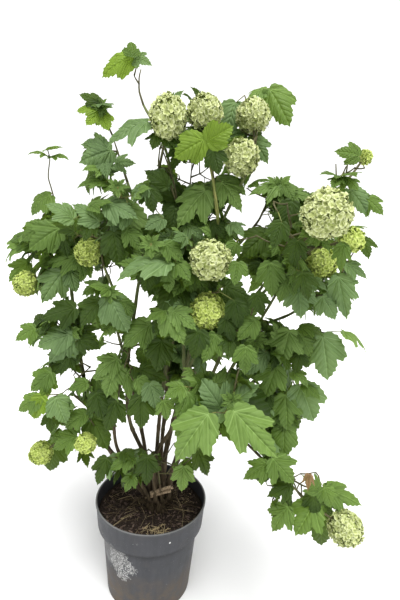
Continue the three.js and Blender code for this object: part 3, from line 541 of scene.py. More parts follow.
def about(bearing, distance=1.0, height=0.0):
    """A place at a bearing and a distance from the upright axis."""
    return vec(distance * math.cos(bearing), distance * math.sin(bearing), height)


def path_length(path):
    return float(np.linalg.norm(np.diff(path, axis=0), axis=1).sum())


def point_on_path(path, share):
    """The point and the direction at a share of a path's length."""
    steps = np.diff(path, axis=0)
    lengths = np.linalg.norm(steps, axis=1)
    left = share * lengths.sum()
    for start, step, length in zip(path, steps, lengths):
        if left <= length:
            break
        left -= length
    else:
        left += length
    return start + step / length * left, step / length


def resampled(points, count):
    """`count` steps of equal length along a finely drawn curve."""
    lengths = np.r_[0, np.cumsum(np.linalg.norm(np.diff(points, axis=0), axis=1))]
    wanted = np.linspace(0, lengths[-1], count + 1)
    return np.stack([np.interp(wanted, lengths, points[:, k]) for k in range(3)], 1)


def curve_through(way):
    """A centripetal Catmull-Rom curve through the points, finely drawn."""
    p = [np.array(q, float) for q in way]
    p = [2 * p[0] - p[1], *p, 2 * p[-1] - p[-2]]
    t = np.linspace(0, 1, CURVE_SAMPLES)[:, None]
    drawn = []
    for a, b, c, d in zip(p, p[1:], p[2:], p[3:]):
        dt0, dt1, dt2 = (math.sqrt(np.linalg.norm(v)) for v in (b - a, c - b, d - c))
        leave = ((b - a) / dt0 - (c - a) / (dt0 + dt1) + (c - b) / dt1) * dt1
        reach = ((c - b) / dt1 - (d - b) / (dt1 + dt2) + (d - c) / dt2) * dt1
        drawn.append(b + leave * t + (3 * (c - b) - 2 * leave - reach) * t**2
                     + (2 * (b - c) + leave + reach) * t**3)
    return np.concatenate(drawn)


def smooth_path(way, step):
    drawn = curve_through(way)
    return resampled(drawn, max(2, round(path_length(drawn) / step)))


def bent_path(start, bend, end, count):
    """Points on a line that leaves `start` towards `bend` and comes to `end` from it."""
    t = np.linspace(0, 1, count + 1)[:, None]
    return (1 - t) ** 2 * start + 2 * t * (1 - t) * bend + t**2 * end


# ---- growth: limbs, then the twigs, snowballs and leaves of each mass ----


def grow_limbs():
    """Each limb starts on the stump, or at a share of the length of the limb that bears it."""
    grown = {}
    for name, root, radii, way in LIMBS:
        way = [vec(*p) for p in way]
        if isinstance(root[0], str):
            parent, share = root
            fork, heading = point_on_path(grown[parent]["path"], share)
            start = unit(unit(way[0] - fork) * FORK_SPREAD + heading)
            way = [fork, fork + start * FORK_BEND * np.linalg.norm(way[0] - fork), *way]
        else:
            distance, bearing = root
            foot = about(math.radians(bearing), distance, SOIL_TOP + SEAT + STUMP_HEIGHT + SEAT)
            way = [vec(*STUMP_CENTRE, 0) + foot, *way]
        grown[name] = {"path": smooth_path(way, LIMB_STEP), "way": way, "radii": radii}
    return grown


def twig_path(start, end):
    bend = (start + end) / 2 - UP * SHOOT_SAG * np.linalg.norm(end - start)
    return bent_path(start, bend, end, TWIG_STEPS)


def in_space(points, centre, half):
    return bool((np.linalg.norm((points - centre) / half, axis=1) < 1).all())


def camera_axes():
    """The camera's right, its up and the way it looks."""
    right, forward = vec(1, 0, 0), vec(0, math.cos(CAMERA_DOWN), -math.sin(CAMERA_DOWN))
    up = np.cross(right, forward)
    lean, upright = math.sin(CAMERA_ROLL), math.cos(CAMERA_ROLL)
    return np.array([right * upright + up * lean, up * upright - right * lean, forward])


CAMERA_AXES = camera_axes()


def seen_at(points):
    """The pixels at which the camera sees points, and their distances from it."""
    across, up, away = CAMERA_AXES @ (np.atleast_2d(points) - CAMERA_PLACE).T
    middle_x, middle_y = PICTURE_SIZE[0] / 2, PICTURE_SIZE[1] / 2
    return np.stack([middle_x + PICTURE_SCALE * across / away, middle_y - PICTURE_SCALE * up / away, away], 1)


def behind_pixel(x, y, depth):
    """The place on the upright plane y = depth that shows at a pixel."""
    across, up = (x - PICTURE_SIZE[0] / 2) / PICTURE_SCALE, (PICTURE_SIZE[1] / 2 - y) / PICTURE_SCALE
    sight = CAMERA_AXES.T @ vec(across, up, 1)
    return CAMERA_PLACE + sight * (depth - CAMERA_PLACE[1]) / sight[1]


def inside_outline(pixels, outline):
    """Which of the pixels lie inside a closed outline."""
    x, y = pixels[:, 0, None], pixels[:, 1, None]
    (ax, ay), (bx, by) = outline.T, np.roll(outline, -1, axis=0).T
    crosses = (ay > y) != (by > y)
    reach = ax + (y - ay) / np.where(by == ay, 1, by - ay) * (bx - ax)
    return (crosses & (x < reach)).sum(axis=1) % 2 == 1


def in_sky(points):
    """True if the camera sees one of the points where there is sky."""
    pixels = seen_at(points)[:, :2]
    if not inside_outline(pixels, np.array(CROWN_OUTLINE, float)).all():
        return True
    gaps = np.array(SKY_GAPS, float)
    return bool((np.linalg.norm((pixels[:, None] - gaps[:, :2]) / gaps[:, 2:], axis=2) < 1).any())


class Crown:
    """What has grown so far."""

    def __init__(self, limbs):
        self.limbs = limbs
        self.bark = np.concatenate([resampled(limb["path"], BARK_SAMPLES) for limb in limbs.values()])
        self.hearts = np.zeros((0, 3))
        self.leaves = []
        self.twigs = []
        self.balls = []
        self.shown = np.zeros((0, 4))

    def keep_in_view(self, centre, reach):
        """Grown leaves stay out of the camera's line of sight to what lies within `reach` of a place."""
        x, y, away = seen_at(centre)[0]
        self.shown = np.vstack([self.shown, (x, y, away, reach * PICTURE_SCALE / away)])

    def hides(self, points):
        """True if one of the points stands in front of something that is kept in view."""
        seen = seen_at(points)[:, None]
        near = np.linalg.norm(seen[..., :2] - self.shown[:, :2], axis=2) < self.shown[:, 3]
        return bool((near & (seen[..., 2] < self.shown[:, 2])).any())

    def shades(self, points):
        """True if one of the points stands between a snowball and the light."""
        for ball in self.balls:
            reach = points - ball["centre"]
            ahead = reach @ LIGHT_SIDE
            aside = np.linalg.norm(reach - ahead[:, None] * LIGHT_SIDE, axis=1)
            if ((aside < OPEN_WIDTH * ball["radius"]) & (ahead > 0) & (ahead < OPEN_HEIGHT)).any():
                return True
        return False

    def fits(self, points, lobes, heart, spacing):
        """True if a leaf has room and hides nothing that is to be seen."""
        if len(self.hearts) and np.linalg.norm(self.hearts - heart, axis=1).min() < spacing:
            return False
        if np.linalg.norm(self.bark[:, None] - points, axis=2).min() < LEAF_TO_BARK:
            return False
        for ball in self.balls:
            if np.linalg.norm(points - ball["centre"], axis=1).min() < ball["radius"] + LEAF_TO_BALL:
                return False
        points = np.concatenate([points, lobes])
        return not in_sky(points) and not self.hides(points) and not self.shades(points)

    def add_leaf(self, leaf, heart):
        self.leaves.append(leaf)
        self.hearts = np.concatenate([self.hearts, [heart]])


def new_twig(path, radii, first, parent=None, share=1, used=0):
    """A twig, with its radius at foot and tip. `first` is how far from its tip the leaves begin, `used`
    how much of it bears something."""
    return {"path": path, "radii": radii, "first": first, "parent": parent, "share": share, "used": used}


def grow_frame(mass, crown):
    """The stem of a mass, from its limb's tip to its heart, and a stalk to each snowball."""
    name, limb, centre, half, *_, balls = mass
    centre = vec(*centre)
    outward = unit((centre - CROWN_AXIS) * (1, 1, 0))
    heart = centre + UP * SHOOT_LIFT - outward * SHOOT_HOLD_BACK
    tip, heading = point_on_path(crown.limbs[limb]["path"], 1)
    bend = tip + heading * STEM_BEND * np.linalg.norm(heart - tip)
    stem = bent_path(tip, bend, heart, STEM_STEPS)
    stem_radii = (crown.limbs[limb]["radii"][1], TWIG_TIP_RADIUS)
    twigs = [new_twig(stem, stem_radii, 0, used=STEM_USED)]
    for k, (x, y, z, diameter) in enumerate(balls):
        ball = {"centre": vec(x, y, z), "radius": diameter / 2, "young": diameter < YOUNG_BALL,
                "stretch": LONG_BALLS.get(name, 1)}
        fork = point_on_path(stem, varied(STALK_FORKS, k))[0]
        stalk = twig_path(fork, ball["centre"])
        crown.balls.append(ball)
        crown.keep_in_view(ball["centre"], BALL_IN_VIEW * ball["radius"])
        twigs.append(new_twig(stalk, STALK_RADII, ball["radius"] + BARE_UNDER_BALL, twigs[0], 1, used=1))
    leaf = LEAF_LENGTH * (SMALL_LEAF_SHARE if name in SMALL_LEAVED else 1)
    return {"mass": mass, "centre": centre, "half": vec(*half), "heart": heart, "stem": stem, "twigs": twigs,
            "leaf": leaf}


def grow_shoots(own):
    """Shoots spread evenly about the heart of the mass, each with pairs of side twigs."""
    shoots, seed = own["mass"][4:6]
    phase = seeded(seed)() * 2 * math.pi
    for k in range(shoots):
        draw = seeded(SEEDS_A_MASS * seed + k)
        height = 1 - (2 * (k + 0.5)) / shoots
        heading = about(phase + k * GOLDEN_ANGLE, math.sqrt(1 - height * height), height)
        reach = own["half"] * heading * SHOOT_REACH * varied(SHOOT_REACHES, draw())
        share = 1 - (FORKED_SHARE * (k + FIRST_FORK)) / shoots
        fork = point_on_path(own["stem"], share)[0]
        path = twig_path(fork, own["heart"] + reach)
        if not in_space(path[1:], own["centre"], own["half"]):
            continue
        shoot = new_twig(path, (TWIG_FOOT_RADIUS, TWIG_TIP_RADIUS), 0, own["twigs"][0], share)
        own["twigs"].append(shoot)
        grow_side_twigs(own, shoot, draw)


def grow_side_twigs(own, shoot, draw):
    """Twigs face each other across the shoot, each pair a quarter turn from the last."""
    path = shoot["path"]
    turn = draw() * math.pi
    length = SIDE_TWIG_LENGTH * path_length(path)
    for share in SIDE_TWIG_SHARES:
        point, heading = point_on_path(path, share)
        side = unit(np.cross(heading, UP))
        other = np.cross(heading, side)
        for facing in (0, math.pi):
            angle = turn + facing + LEAF_TWIST * (draw() - 0.5)
            sideways = side * math.cos(angle) + other * math.sin(angle)
            leaning = unit(sideways + SIDE_TWIG_FORWARD * heading + SIDE_TWIG_RISE * UP)
            end = point + leaning * length * varied(SIDE_TWIG_LENGTHS, draw())
            twig = twig_path(point, end)
            if in_space(twig, own["centre"], own["half"] * SIDE_TWIG_SPACE):
                own["twigs"].append(new_twig(twig, SIDE_TWIG_RADII, 0, shoot, share))
        turn += math.pi / 2


def turned(v, axis, angle):
    """v turned about a unit axis that it is square to."""
    return v * math.cos(angle) + np.cross(axis, v) * math.sin(angle)


def try_leaf(leaf, full, level, direction, forward, angle, hang, own, crown):
    """Grows the leaf where it has room: as large as it can be, and turned as little as it must."""
    outward = unit((leaf["root"] - CROWN_AXIS) * (1, 1, 0))
    space = own["half"] * SPACE_SPREAD
    for share in LEAF_SIZES:
        for lean in LEAF_SWINGS:
            stalk = turned(level, direction, angle + lean) + direction * forward
            stalk = stalk + outward * LEAF_REACH_OUT
            blade = unit(stalk - UP * LEAF_HANG * varied(LEAF_HANGS, hang))
            petiole = unit(stalk + UP * PETIOLE_RISE)
            face = outward + UP * LEAF_FACE_UP + level * LEAF_FACE_TILT * (leaf["tone"] - 0.5)
            normal = unit(face - blade * face.dot(blade))
            side = np.cross(blade, normal)
            length = full * share
            base = leaf["root"] + petiole * PETIOLE_SHARE * length
            heart = base + blade * LEAF_HEART * length
            points = np.array([base + (blade * along + side * across - normal * droop) * length
                               for across, along, droop in LEAF_REACHES])
            lobes = np.array([base + (blade * along + side * across) * length
                              for across, along in LEAF_LOBES])
            if in_space(points, own["centre"], space) and crown.fits(points, lobes, heart, LEAF_SPACING):
                leaf.update(base=base, blade=blade, normal=normal, side=side, length=length, petiole=petiole)
                crown.add_leaf(leaf, heart)
                return True
    return False


def grow_leaves(twig, draw, own, crown, spray):
    """Pairs of leaves face each other across the twig, each pair a quarter turn from the last."""
    length = path_length(twig["path"])
    turn = draw() * math.pi
    forward = YOUNG_LEAF_FORWARD if twig["first"] == 0 else LEAF_FORWARD
    back = twig["first"]
    while back < length - BARE_FOOT:
        point, direction = point_on_path(twig["path"], 1 - back / length)
        reference = vec(1, 0, 0) if abs(direction[2]) > ALMOST_UPRIGHT else UP
        level = unit(np.cross(direction, reference))
        lengths = TIP_LEAF_LENGTHS if back < TIP_LEAF_REACH else LEAF_LENGTHS
        for facing in (0, math.pi):
            swing, hang, tilt, size = draw(), draw(), draw(), draw()
            leaf = {"root": point, "tone": tilt, "spray": spray, "lobed": own["leaf"] < LEAF_LENGTH}
            full = own["leaf"] * varied(lengths, size)
            angle = turn + facing + LEAF_TWIST * (swing - 0.5)
            if try_leaf(leaf, full, level, direction, forward, angle, hang, own, crown):
                twig["used"] = max(twig["used"], 1 - back / length)
        turn += math.pi / 2
        forward = LEAF_FORWARD
        back += NODE_SPACING * varied(NODE_SPACINGS, draw())


def fork_near(twigs, place):
    """The twig, and the share of its length, from which a stalk to a place starts."""
    shares = np.linspace(0, 1, PATH_SAMPLES + 1)
    points = np.concatenate([resampled(twig["path"], PATH_SAMPLES) for twig in twigs])
    twig, sample = divmod(int(np.linalg.norm(points - place, axis=1).argmin()), len(shares))
    return twigs[twig], shares[sample], points[twig * len(shares) + sample]


def grow_shown_leaf(row, own, crown):
    """A leaf at its place in the picture, on a stalk, and on a twig of its own where it needs one."""
    kind, root_x, root_y, tip_x, tip_y, facing, front, width = (*row, *SHOWN_USUAL[len(row) - 6:])[:8]
    depth = own["centre"][1] - front * own["half"][1]
    base, tip = behind_pixel(root_x, root_y, depth), behind_pixel(tip_x, tip_y, depth)
    flat = np.linalg.norm(tip - base)
    length = max(FORESHORTENED * flat, SHOWN_SHORTEST)
    nearer = unit(CAMERA_PLACE - base)
    blade = unit(tip - base + nearer * math.sqrt(length**2 - flat**2))
    face = nearer * facing + UP * (1 - facing)
    hold_shown_leaf(base, blade, face, length, kind, own, crown, width)


def hold_shown_leaf(base, blade, face, length, kind, own, crown, width=1):
    """Joins a leaf to the nearest twig, and keeps it in view."""
    bearer, share, root = fork_near(own["twigs"], base)
    gap = base - root
    if np.linalg.norm(gap) > STALK_REACH:
        end = base - unit(gap) * STALK_SHARE * STALK_REACH
        ahead = unit(unit(gap) + HOLDING_AHEAD * point_on_path(bearer["path"], share)[1])
        bend = root + ahead * HOLDING_BEND * np.linalg.norm(end - root)
        path = bent_path(root, bend, end, HOLDING_STEPS)
        own["twigs"].append(new_twig(path, SIDE_TWIG_RADII, HOLDING_BARE, bearer, share, used=1))
        root = path[-1]
    else:
        bearer["used"] = max(bearer["used"], share)
    normal = unit(face - blade * face.dot(blade))
    side = np.cross(blade, normal) * width
    leaf = {"root": root, "base": base, "blade": blade, "normal": normal, "side": side, "length": length,
            "petiole": unit(base - root), "tone": 0.5, "kind": kind, "lobed": own["leaf"] < LEAF_LENGTH}
    heart = base + blade * LEAF_HEART * length
    crown.add_leaf(leaf, heart)
    crown.keep_in_view(heart, SHOWN_CLEAR * length)


def grow_bud(bud, own, crown):
    """An opening bud: a tuft of little upright leaves."""
    x, y, length = bud
    right, up, forward = CAMERA_AXES
    place = behind_pixel(x, y, own["centre"][1] - SHOWN_FRONT * own["half"][1])
    for k in range(BUD_LEAVES):
        bearing = k * GOLDEN_ANGLE
        out = right * math.cos(bearing) + up * math.sin(bearing)
        blade = unit(out - 0.5 * forward)
        face = unit(UP - forward - 0.4 * out)
        size = length * (1 - BUD_NARROWS * k / BUD_LEAVES)
        hold_shown_leaf(place + BUD_SPREAD * length * out, blade, face, size, "fresh", own, crown)


def grow_shown_stem(stem, frames, crown):
    """A stem that shows between the leaves, from the twig nearest its foot."""
    name, radius, front, green, pixels = stem
    own = frames[name]
    depth = own["centre"][1] - front * own["half"][1]
    way = [behind_pixel(x, y, depth) for x, y in pixels]
    bearer, share, foot = fork_near(own["twigs"], way[0])
    bearer["used"] = max(bearer["used"], share)
    path = smooth_path([foot, *way], SHOWN_STEM_STEP)
    twig = new_twig(path, (radius, TWIG_TIP_RADIUS), NO_LEAVES, used=1)
    twig["green"] = float(green)
    crown.twigs.append(twig)
    for place in path:
        crown.keep_in_view(place, STEM_CLEAR)


def grow_thin_shoot(own, crown):
    """A long bare shoot with a few leaves along it."""
    depth = own["centre"][1] - THIN_SHOOT_FRONT * own["half"][1]
    way = [behind_pixel(x, y, depth) for x, y in THIN_SHOOT]
    bearer, share, start = fork_near(own["twigs"], way[0])
    bearer["used"] = max(bearer["used"], share)
    path = smooth_path([start, *way[1:]], THIN_SHOOT_STEP)
    shoot = new_twig(path, (TWIG_FOOT_RADIUS, TWIG_TIP_RADIUS), NO_LEAVES, used=1)
    crown.twigs.append(shoot)
    for row in THIN_SHOOT_LEAVES:
        grow_shown_leaf((*row, THIN_SHOOT_FRONT), {**own, "twigs": [shoot]}, crown)


def cut_back(twigs):
    """The twigs that bear something, each ending just past the last thing that it bears."""
    kept = []
    for twig in reversed(twigs):
        if not twig["used"]:
            continue
        if twig["parent"]:
            twig["parent"]["used"] = max(twig["parent"]["used"], twig["share"])
        count = PATH_SAMPLES * (len(twig["path"]) - 1)
        fine = resampled(twig["path"], count)
        twig["path"] = fine[:max(3, math.ceil(min(1, twig["used"] + SPARE_TIP) * count) + 1)]
        kept.append(twig)
    return kept


def grow_crown():
    """Everything that grows: first what is placed one by one, then the rest where it leaves room."""
    crown = Crown(grow_limbs())
    frames = {mass[0]: grow_frame(mass, crown) for mass in MASSES}
    for own in frames.values():
        grow_shoots(own)
    for name, rows in SHOWN_LEAVES.items():
        for row in rows:
            grow_shown_leaf(row, frames[name], crown)
    for name, bud in BUDS.items():
        grow_bud(bud, frames[name], crown)
    for stem in SHOWN_STEMS:
        grow_shown_stem(stem, frames, crown)
    grow_thin_shoot(frames["foliage_left_edge"], crown)
    for name, own in frames.items():
        seed = SEEDS_A_MASS * own["mass"][5] + FIRST_LEAF_SEED
        for k, twig in enumerate(own["twigs"]):
            grow_leaves(twig, seeded(seed + k), own, crown, (name, k))
        crown.twigs.extend(cut_back(own["twigs"]))
    return crown


# ---- meshes ----


def tapered(radii, count):
    return np.linspace(radii[0], radii[1], count)


def all_round(count):
    """Bearings spread evenly round a circle."""
    return np.arange(count) * 2 * math.pi / count


def ring_faces(rings, sides):
    """Triangles between rings of points, each ring closed on itself."""
    ring, k = np.meshgrid(np.arange(rings - 1), np.arange(sides), indexing="ij")
    a, b = ring * sides + k, ring * sides + (k + 1) % sides
    lower = np.stack([a, b, b + sides], -1).reshape(-1, 3)
    upper = np.stack([a, b + sides, a + sides], -1).reshape(-1, 3)
    return np.concatenate([lower, upper])


def fan_faces(count):
    """Triangles from a first point to a rim of points that follow it."""
    k = np.arange(count)
    return np.stack([0 * k, 1 + k, 1 + (k + 1) % count], 1)


class Pile:
    """Triangles of one kind of thing, gathered until they become a piece."""

    def __init__(self):
        self.points, self.faces, self.marks, self.count = [], [], [], 0

    def add(self, points, faces, *marks):
        """Adds points in millimetres. Each mark is a number, or one number a point."""
        self.points.append(points)
        self.faces.append(np.asarray(faces) + self.count)
        columns = [np.broadcast_to(np.asarray(mark, float), len(points)) for mark in marks]
        self.marks.append(np.stack(columns, 1) if marks else np.zeros((len(points), 0)))
        self.count += len(points)

    def add_tube(self, path, radii, sides, *marks):
        """Adds a tube that tapers from the radius of its foot to that of its tip."""
        self.add(*tube(path, tapered(radii, len(path)), sides), *marks)

    def piece(self, name, material, slot, marks=()):
        """Makes the gathered triangles into one smooth-shaded piece of the part."""
        points = np.concatenate(self.points) * MM
        faces = np.concatenate(self.faces)
        mesh = bpy.data.meshes.new(name)
        mesh.vertices.add(len(points))
        mesh.vertices.foreach_set("co", points.astype(np.float32).ravel())
        mesh.loops.add(3 * len(faces))
        mesh.loops.foreach_set("vertex_index", faces.astype(np.int32).ravel())
        mesh.polygons.add(len(faces))
        mesh.polygons.foreach_set("loop_start", np.arange(0, 3 * len(faces), 3, dtype=np.int32))
        mesh.polygons.foreach_set("use_smooth", np.ones(len(faces), bool))
        values = np.concatenate(self.marks)
        for k, mark in enumerate(marks):
            column = mesh.attributes.new(mark, "FLOAT", "POINT")
            column.data.foreach_set("value", values[:, k].astype(np.float32))
        mesh.update(calc_edges=True)
        mesh.validate()
        mesh.materials.append(material)
        piece = bpy.data.objects.new(name, mesh)
        bpy.context.scene.collection.objects.link(piece)
        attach(piece, "root")
        return piece


def tube(path, radii, sides, relief=None, closed=True):
    """A round tube along a path. `relief` scales the radius at each ring and side."""
    tangents = np.gradient(path, axis=0)
    tangents /= np.linalg.norm(tangents, axis=1)[:, None]
    side = vec(0, 1, 0) if abs(tangents[0][0]) > ALMOST_ALONG_X else vec(1, 0, 0)
    angles = all_round(sides)
    rings = []
    for k, (p, tangent) in enumerate(zip(path, tangents)):
        side = unit(side - tangent * side.dot(tangent))
        other = np.cross(tangent, side)
        spread = np.cos(angles)[:, None] * side + np.sin(angles)[:, None] * other
        size = radii[k] * (relief[k][:, None] if relief is not None else 1)
        rings.append(p + spread * size)
    points = np.concatenate(rings)
    faces = ring_faces(len(path), sides)
    if closed:
        last = (len(path) - 1) * sides
        fan = np.arange(1, sides - 1)
        faces = np.concatenate([
            faces,
            np.stack([0 * fan, fan + 1, fan], 1),
            np.stack([0 * fan + last, last + fan, last + fan + 1], 1),
        ])
    return points, faces


# ---- stems and boughs ----

BARK_SIDES = 12
BARK_STEP = 7
BARK_RELIEF = 0.09
BARK_RIDGE = 0.4
# Ridges of the bark: how many go round a stem, and how far along it they repeat.
BARK_WAVES = ((2, 90), (3, 47), (5, 29), (4, 13))
BARK_WANDER = 160
NODE_SWELLING = 0.22
NODE_EVERY = 62
NODE_REACH = 5
FOOT_FLARE = 0.12
FLARE_REACH = 14
BARK_AGE_AT_FOOT = 1.15
BARK_AGE_HEIGHT = 560
LIMB_SEED = 7000


def bark_relief(count, length, draw):
    """Long ridges that wander, and a swelling at each pair of old buds."""
    along = np.linspace(0, length, count)[:, None]
    around = all_round(BARK_SIDES)
    relief = np.ones((count, BARK_SIDES))
    for waves, pitch in BARK_WAVES:
        lean, phase = draw() * 6, draw() * 6
        ridge = np.sin(waves * around + along / pitch + lean * np.sin(along / BARK_WANDER) + phase)
        relief += BARK_RIDGE * BARK_RELIEF * ridge
    place = (along + draw() * NODE_EVERY) % NODE_EVERY - NODE_EVERY / 2
    return relief + NODE_SWELLING * np.exp(-((place / NODE_REACH) ** 2))


def make_limbs(limbs, material):
    pile = Pile()
    for k, limb in enumerate(limbs.values()):
        path = smooth_path(limb["way"], BARK_STEP)
        length = path_length(path)
        along = np.linspace(0, length, len(path))
        radii = tapered(limb["radii"], len(path)) * (1 + FOOT_FLARE * np.exp(-along / FLARE_REACH))
        relief = bark_relief(len(path), length, seeded(LIMB_SEED + k))
        age = np.clip(BARK_AGE_AT_FOOT - (path[:, 2] - SOIL_TOP) / BARK_AGE_HEIGHT, 0, 1)
        pile.add(*tube(path, radii, BARK_SIDES, relief), np.repeat(age, BARK_SIDES))
    piece = pile.piece("stems_and_boughs", material, "bark", ["age"])
    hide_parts(*limbs)


# ---- twigs and petioles ----

TWIG_SIDES = 6
TWIG_STEP = 9
TWIG_POINTS_APART = 6
PETIOLE_SIDES = 5
PETIOLE_STEPS = 4
PETIOLE_RADIUS = 0.85
PETIOLE_FOOT = 1.15
PETIOLE_BEND = 0.6
PETIOLE_IN_BLADE = 0.03


def make_twigs(crown, material):
    pile = Pile()
    for twig in crown.twigs:
        way = twig["path"]
        if len(way) > 2 * TWIG_POINTS_APART:
            way = np.concatenate([way[:-1:TWIG_POINTS_APART], way[-1:]])
        pile.add_tube(smooth_path(way, TWIG_STEP), twig["radii"], TWIG_SIDES, twig.get("green", 0.0))
    for leaf in crown.leaves:
        root, base = leaf["root"], leaf["base"]
        bend = root + leaf["petiole"] * PETIOLE_BEND * np.linalg.norm(base - root)
        path = bent_path(root, bend, base + leaf["blade"] * PETIOLE_IN_BLADE * leaf["length"], PETIOLE_STEPS)
        pile.add_tube(path, (PETIOLE_FOOT * PETIOLE_RADIUS, PETIOLE_RADIUS), PETIOLE_SIDES, 1.0)
    return pile.piece("twigs_and_leaf_stalks", material, "foliage", ["green"])


# ---- leaves ----

# Halves of a leaf's outline, across and along in shares of its length, from its root to its tip: half of
# the middle lobe and one side lobe, with coarse teeth. One leaf is deeply lobed, the other nearly round.
LOBED_HALF = [
    (0.05, -0.03), (0.13, -0.05), (0.23, -0.03), (0.28, 0.04), (0.36, 0.05), (0.38, 0.13), (0.45, 0.17),
    (0.44, 0.25), (0.50, 0.32), (0.485, 0.40), (0.545, 0.47), (0.575, 0.60), (0.49, 0.585), (0.44, 0.62),
    (0.35, 0.56), (0.235, 0.50), (0.245, 0.58), (0.275, 0.655), (0.215, 0.70), (0.22, 0.77), (0.145, 0.82),
    (0.135, 0.89), (0.055, 0.95),
]
ROUND_HALF = [
    (0.05, -0.04), (0.13, -0.08), (0.24, -0.07), (0.31, 0.0), (0.39, 0.03), (0.42, 0.12), (0.48, 0.17),
    (0.475, 0.26), (0.53, 0.34), (0.51, 0.42), (0.535, 0.48), (0.53, 0.58), (0.45, 0.60), (0.42, 0.68),
    (0.35, 0.66), (0.30, 0.66), (0.29, 0.73), (0.30, 0.79), (0.235, 0.82), (0.235, 0.90), (0.165, 0.91),
    (0.13, 0.965), (0.055, 0.985),
]
LEAF_TIP = (0, 1.05)
LEAF_RINGS = (0.3, 0.55, 0.8, 1)
LEAF_JUNCTION = (0, 0.03)
LEAF_TEMPLATES = 6
LOBED_SHARE = 0.4
USUAL_SHARE = 0.75
# A leaf's ribs lie in furrows: a side rib and a low rib, as the shares of width and length they gain.
SIDE_RIB = (0.72, 0.694)
LOW_RIB = (0.356, 0.934)
FURROW_DEPTH = 0.045
FURROW_REACH = 0.11
TOOTH_WAVE = 0.02
RIM_JITTER = 0.02
JITTERED_FROM = 0.02
# How much leaves droop at the tip, fold at the midrib, curl at the sides, arch and sway, and how wide they
# are, in shares of their length.
LEAF_DROOPS = (0.05, 0.3)
LEAF_FOLDS = (0.02, 0.16)
LEAF_CURLS = (0.05, 0.4)
LEAF_WIDTHS = (0.8, 0.18)
LEAF_ARCHES = (0.12, 0.35)
LEAF_SWAY = 0.25
LEAF_WAVE = 0.035
LEAF_WAVES = 9
LEAVES_SEED = 4100


def rib_distances(flat):
    """How far points of a flat leaf are from its nearest rib, in shares of its length."""
    across, ahead = abs(flat[:, 0]), flat[:, 1] - LEAF_JUNCTION[1]
    ribs = [abs(across * rise - ahead * run) for rise, run in (SIDE_RIB, LOW_RIB)]
    return np.minimum(across, np.minimum(*ribs))


def leaf_template(roundness, draw):
    """A leaf's points as across, along and height, and its faces."""
    right = np.array(LOBED_HALF) * (1 - roundness) + np.array(ROUND_HALF) * roundness
    left = right[::-1] * (-1, 1)
    rim = np.concatenate([right, [LEAF_TIP], left, [(0, 0)]])
    jitter = np.array([[draw() - 0.5, draw() - 0.5] for _ in rim]) * RIM_JITTER
    rim += jitter * (rim[:, 1:] > JITTERED_FROM)
    count = len(rim)
    rings = [rim * share + np.array(LEAF_JUNCTION) * (1 - share) for share in LEAF_RINGS]
    flat = np.concatenate([[LEAF_JUNCTION], *rings])
    height = FURROW_DEPTH * np.clip(rib_distances(flat) / FURROW_REACH, 0, 1)
    height[-count:] += TOOTH_WAVE * np.array([draw() - 0.5 for _ in rim])
    faces = np.concatenate([fan_faces(count), ring_faces(len(LEAF_RINGS), count)[:, [0, 2, 1]] + 1])
    return flat, height, faces


def place_leaf(leaf, template, draw):
    """The template bent into a leaf: arched, folded and drooping, with lobes that curl and wave."""
    flat, height, faces = template
    across, forward = flat.T
    droop, fold, curl = varied(LEAF_DROOPS, draw()), varied(LEAF_FOLDS, draw()), varied(LEAF_CURLS, draw())
    sway, wave, phase = LEAF_SWAY * (draw() - 0.5), LEAF_WAVE * draw(), 6 * draw()
    width = varied(LEAF_WIDTHS, draw())
    arch = varied(LEAF_ARCHES, draw())
    lift = height + arch * forward * (1 - forward) - droop * forward**2
    lift = lift - fold * abs(across) - curl * across**2
    lift = lift + wave * np.sin(LEAF_WAVES * forward + phase + 3 * np.sign(across)) * abs(across) * 3
    sideways = width * across + sway * forward**2 * 0.5
    points = leaf["base"] + leaf["length"] * (
        sideways[:, None] * leaf["side"] + forward[:, None] * leaf["blade"] + lift[:, None] * leaf["normal"]
    )
    return points, faces, across, forward


LEAF_KINDS = ("deep", "mid", "blue", "fresh", "bright", "withered")
# Leaves get fresher from this height on, over this rise, and towards this distance from the axis.
FRESH_FROM = 800
FRESH_RISE = 420
FRESH_OUTSIDE = 330
BRIGHT_SHARE = 0.3


def leaf_kind(leaf, draw):
    """Fresh, bright leaves stand high and outside; deep ones (painted shade) and bluish ones (painted sky
    sheen) fill the middle.
    """
    high = np.clip((leaf["base"][2] - FRESH_FROM) / FRESH_RISE, 0, 1)
    outside = np.clip(np.linalg.norm((leaf["base"] - CROWN_AXIS)[:2]) / FRESH_OUTSIDE, 0, 1)
    shares = (1.5 - 0.6 * high, 1.5, 1.0, 0.5 + 0.9 * high + 0.3 * outside, 0.03 + 0.12 * high)
    pick = draw() * sum(shares)
    for kind, share in zip(LEAF_KINDS, shares):
        pick -= share
        if pick <= 0:
            return kind
    return LEAF_KINDS[0]


def make_leaves(crown, materials):
    """Grown leaves of one twig are of one kind. Small, fresh leaves are lobed, bright ones round."""
    draw = seeded(LEAVES_SEED)
    templates = [leaf_template(k / (LEAF_TEMPLATES - 1), draw) for k in range(LEAF_TEMPLATES)]
    kinds = {}
    piles = {kind: Pile() for kind in LEAF_KINDS}
    for leaf in crown.leaves:
        kind = leaf.get("kind") or kinds.setdefault(leaf["spray"], leaf_kind(leaf, draw))
        pick = draw() * (LOBED_SHARE if leaf["lobed"] or kind == "fresh" else USUAL_SHARE)
        pick = pick if kind != "bright" else 1 - BRIGHT_SHARE * pick
        template = templates[int(pick * (LEAF_TEMPLATES - 0.01))]
        points, faces, across, along = place_leaf(leaf, template, draw)
        piles[kind].add(points, faces, across, along, leaf["tone"])
    for kind, pile in piles.items():
        if pile.count:
            pile.piece(f"leaves_{kind}", materials[kind], "foliage", ["across", "along", "tone"])


# ---- snowballs ----

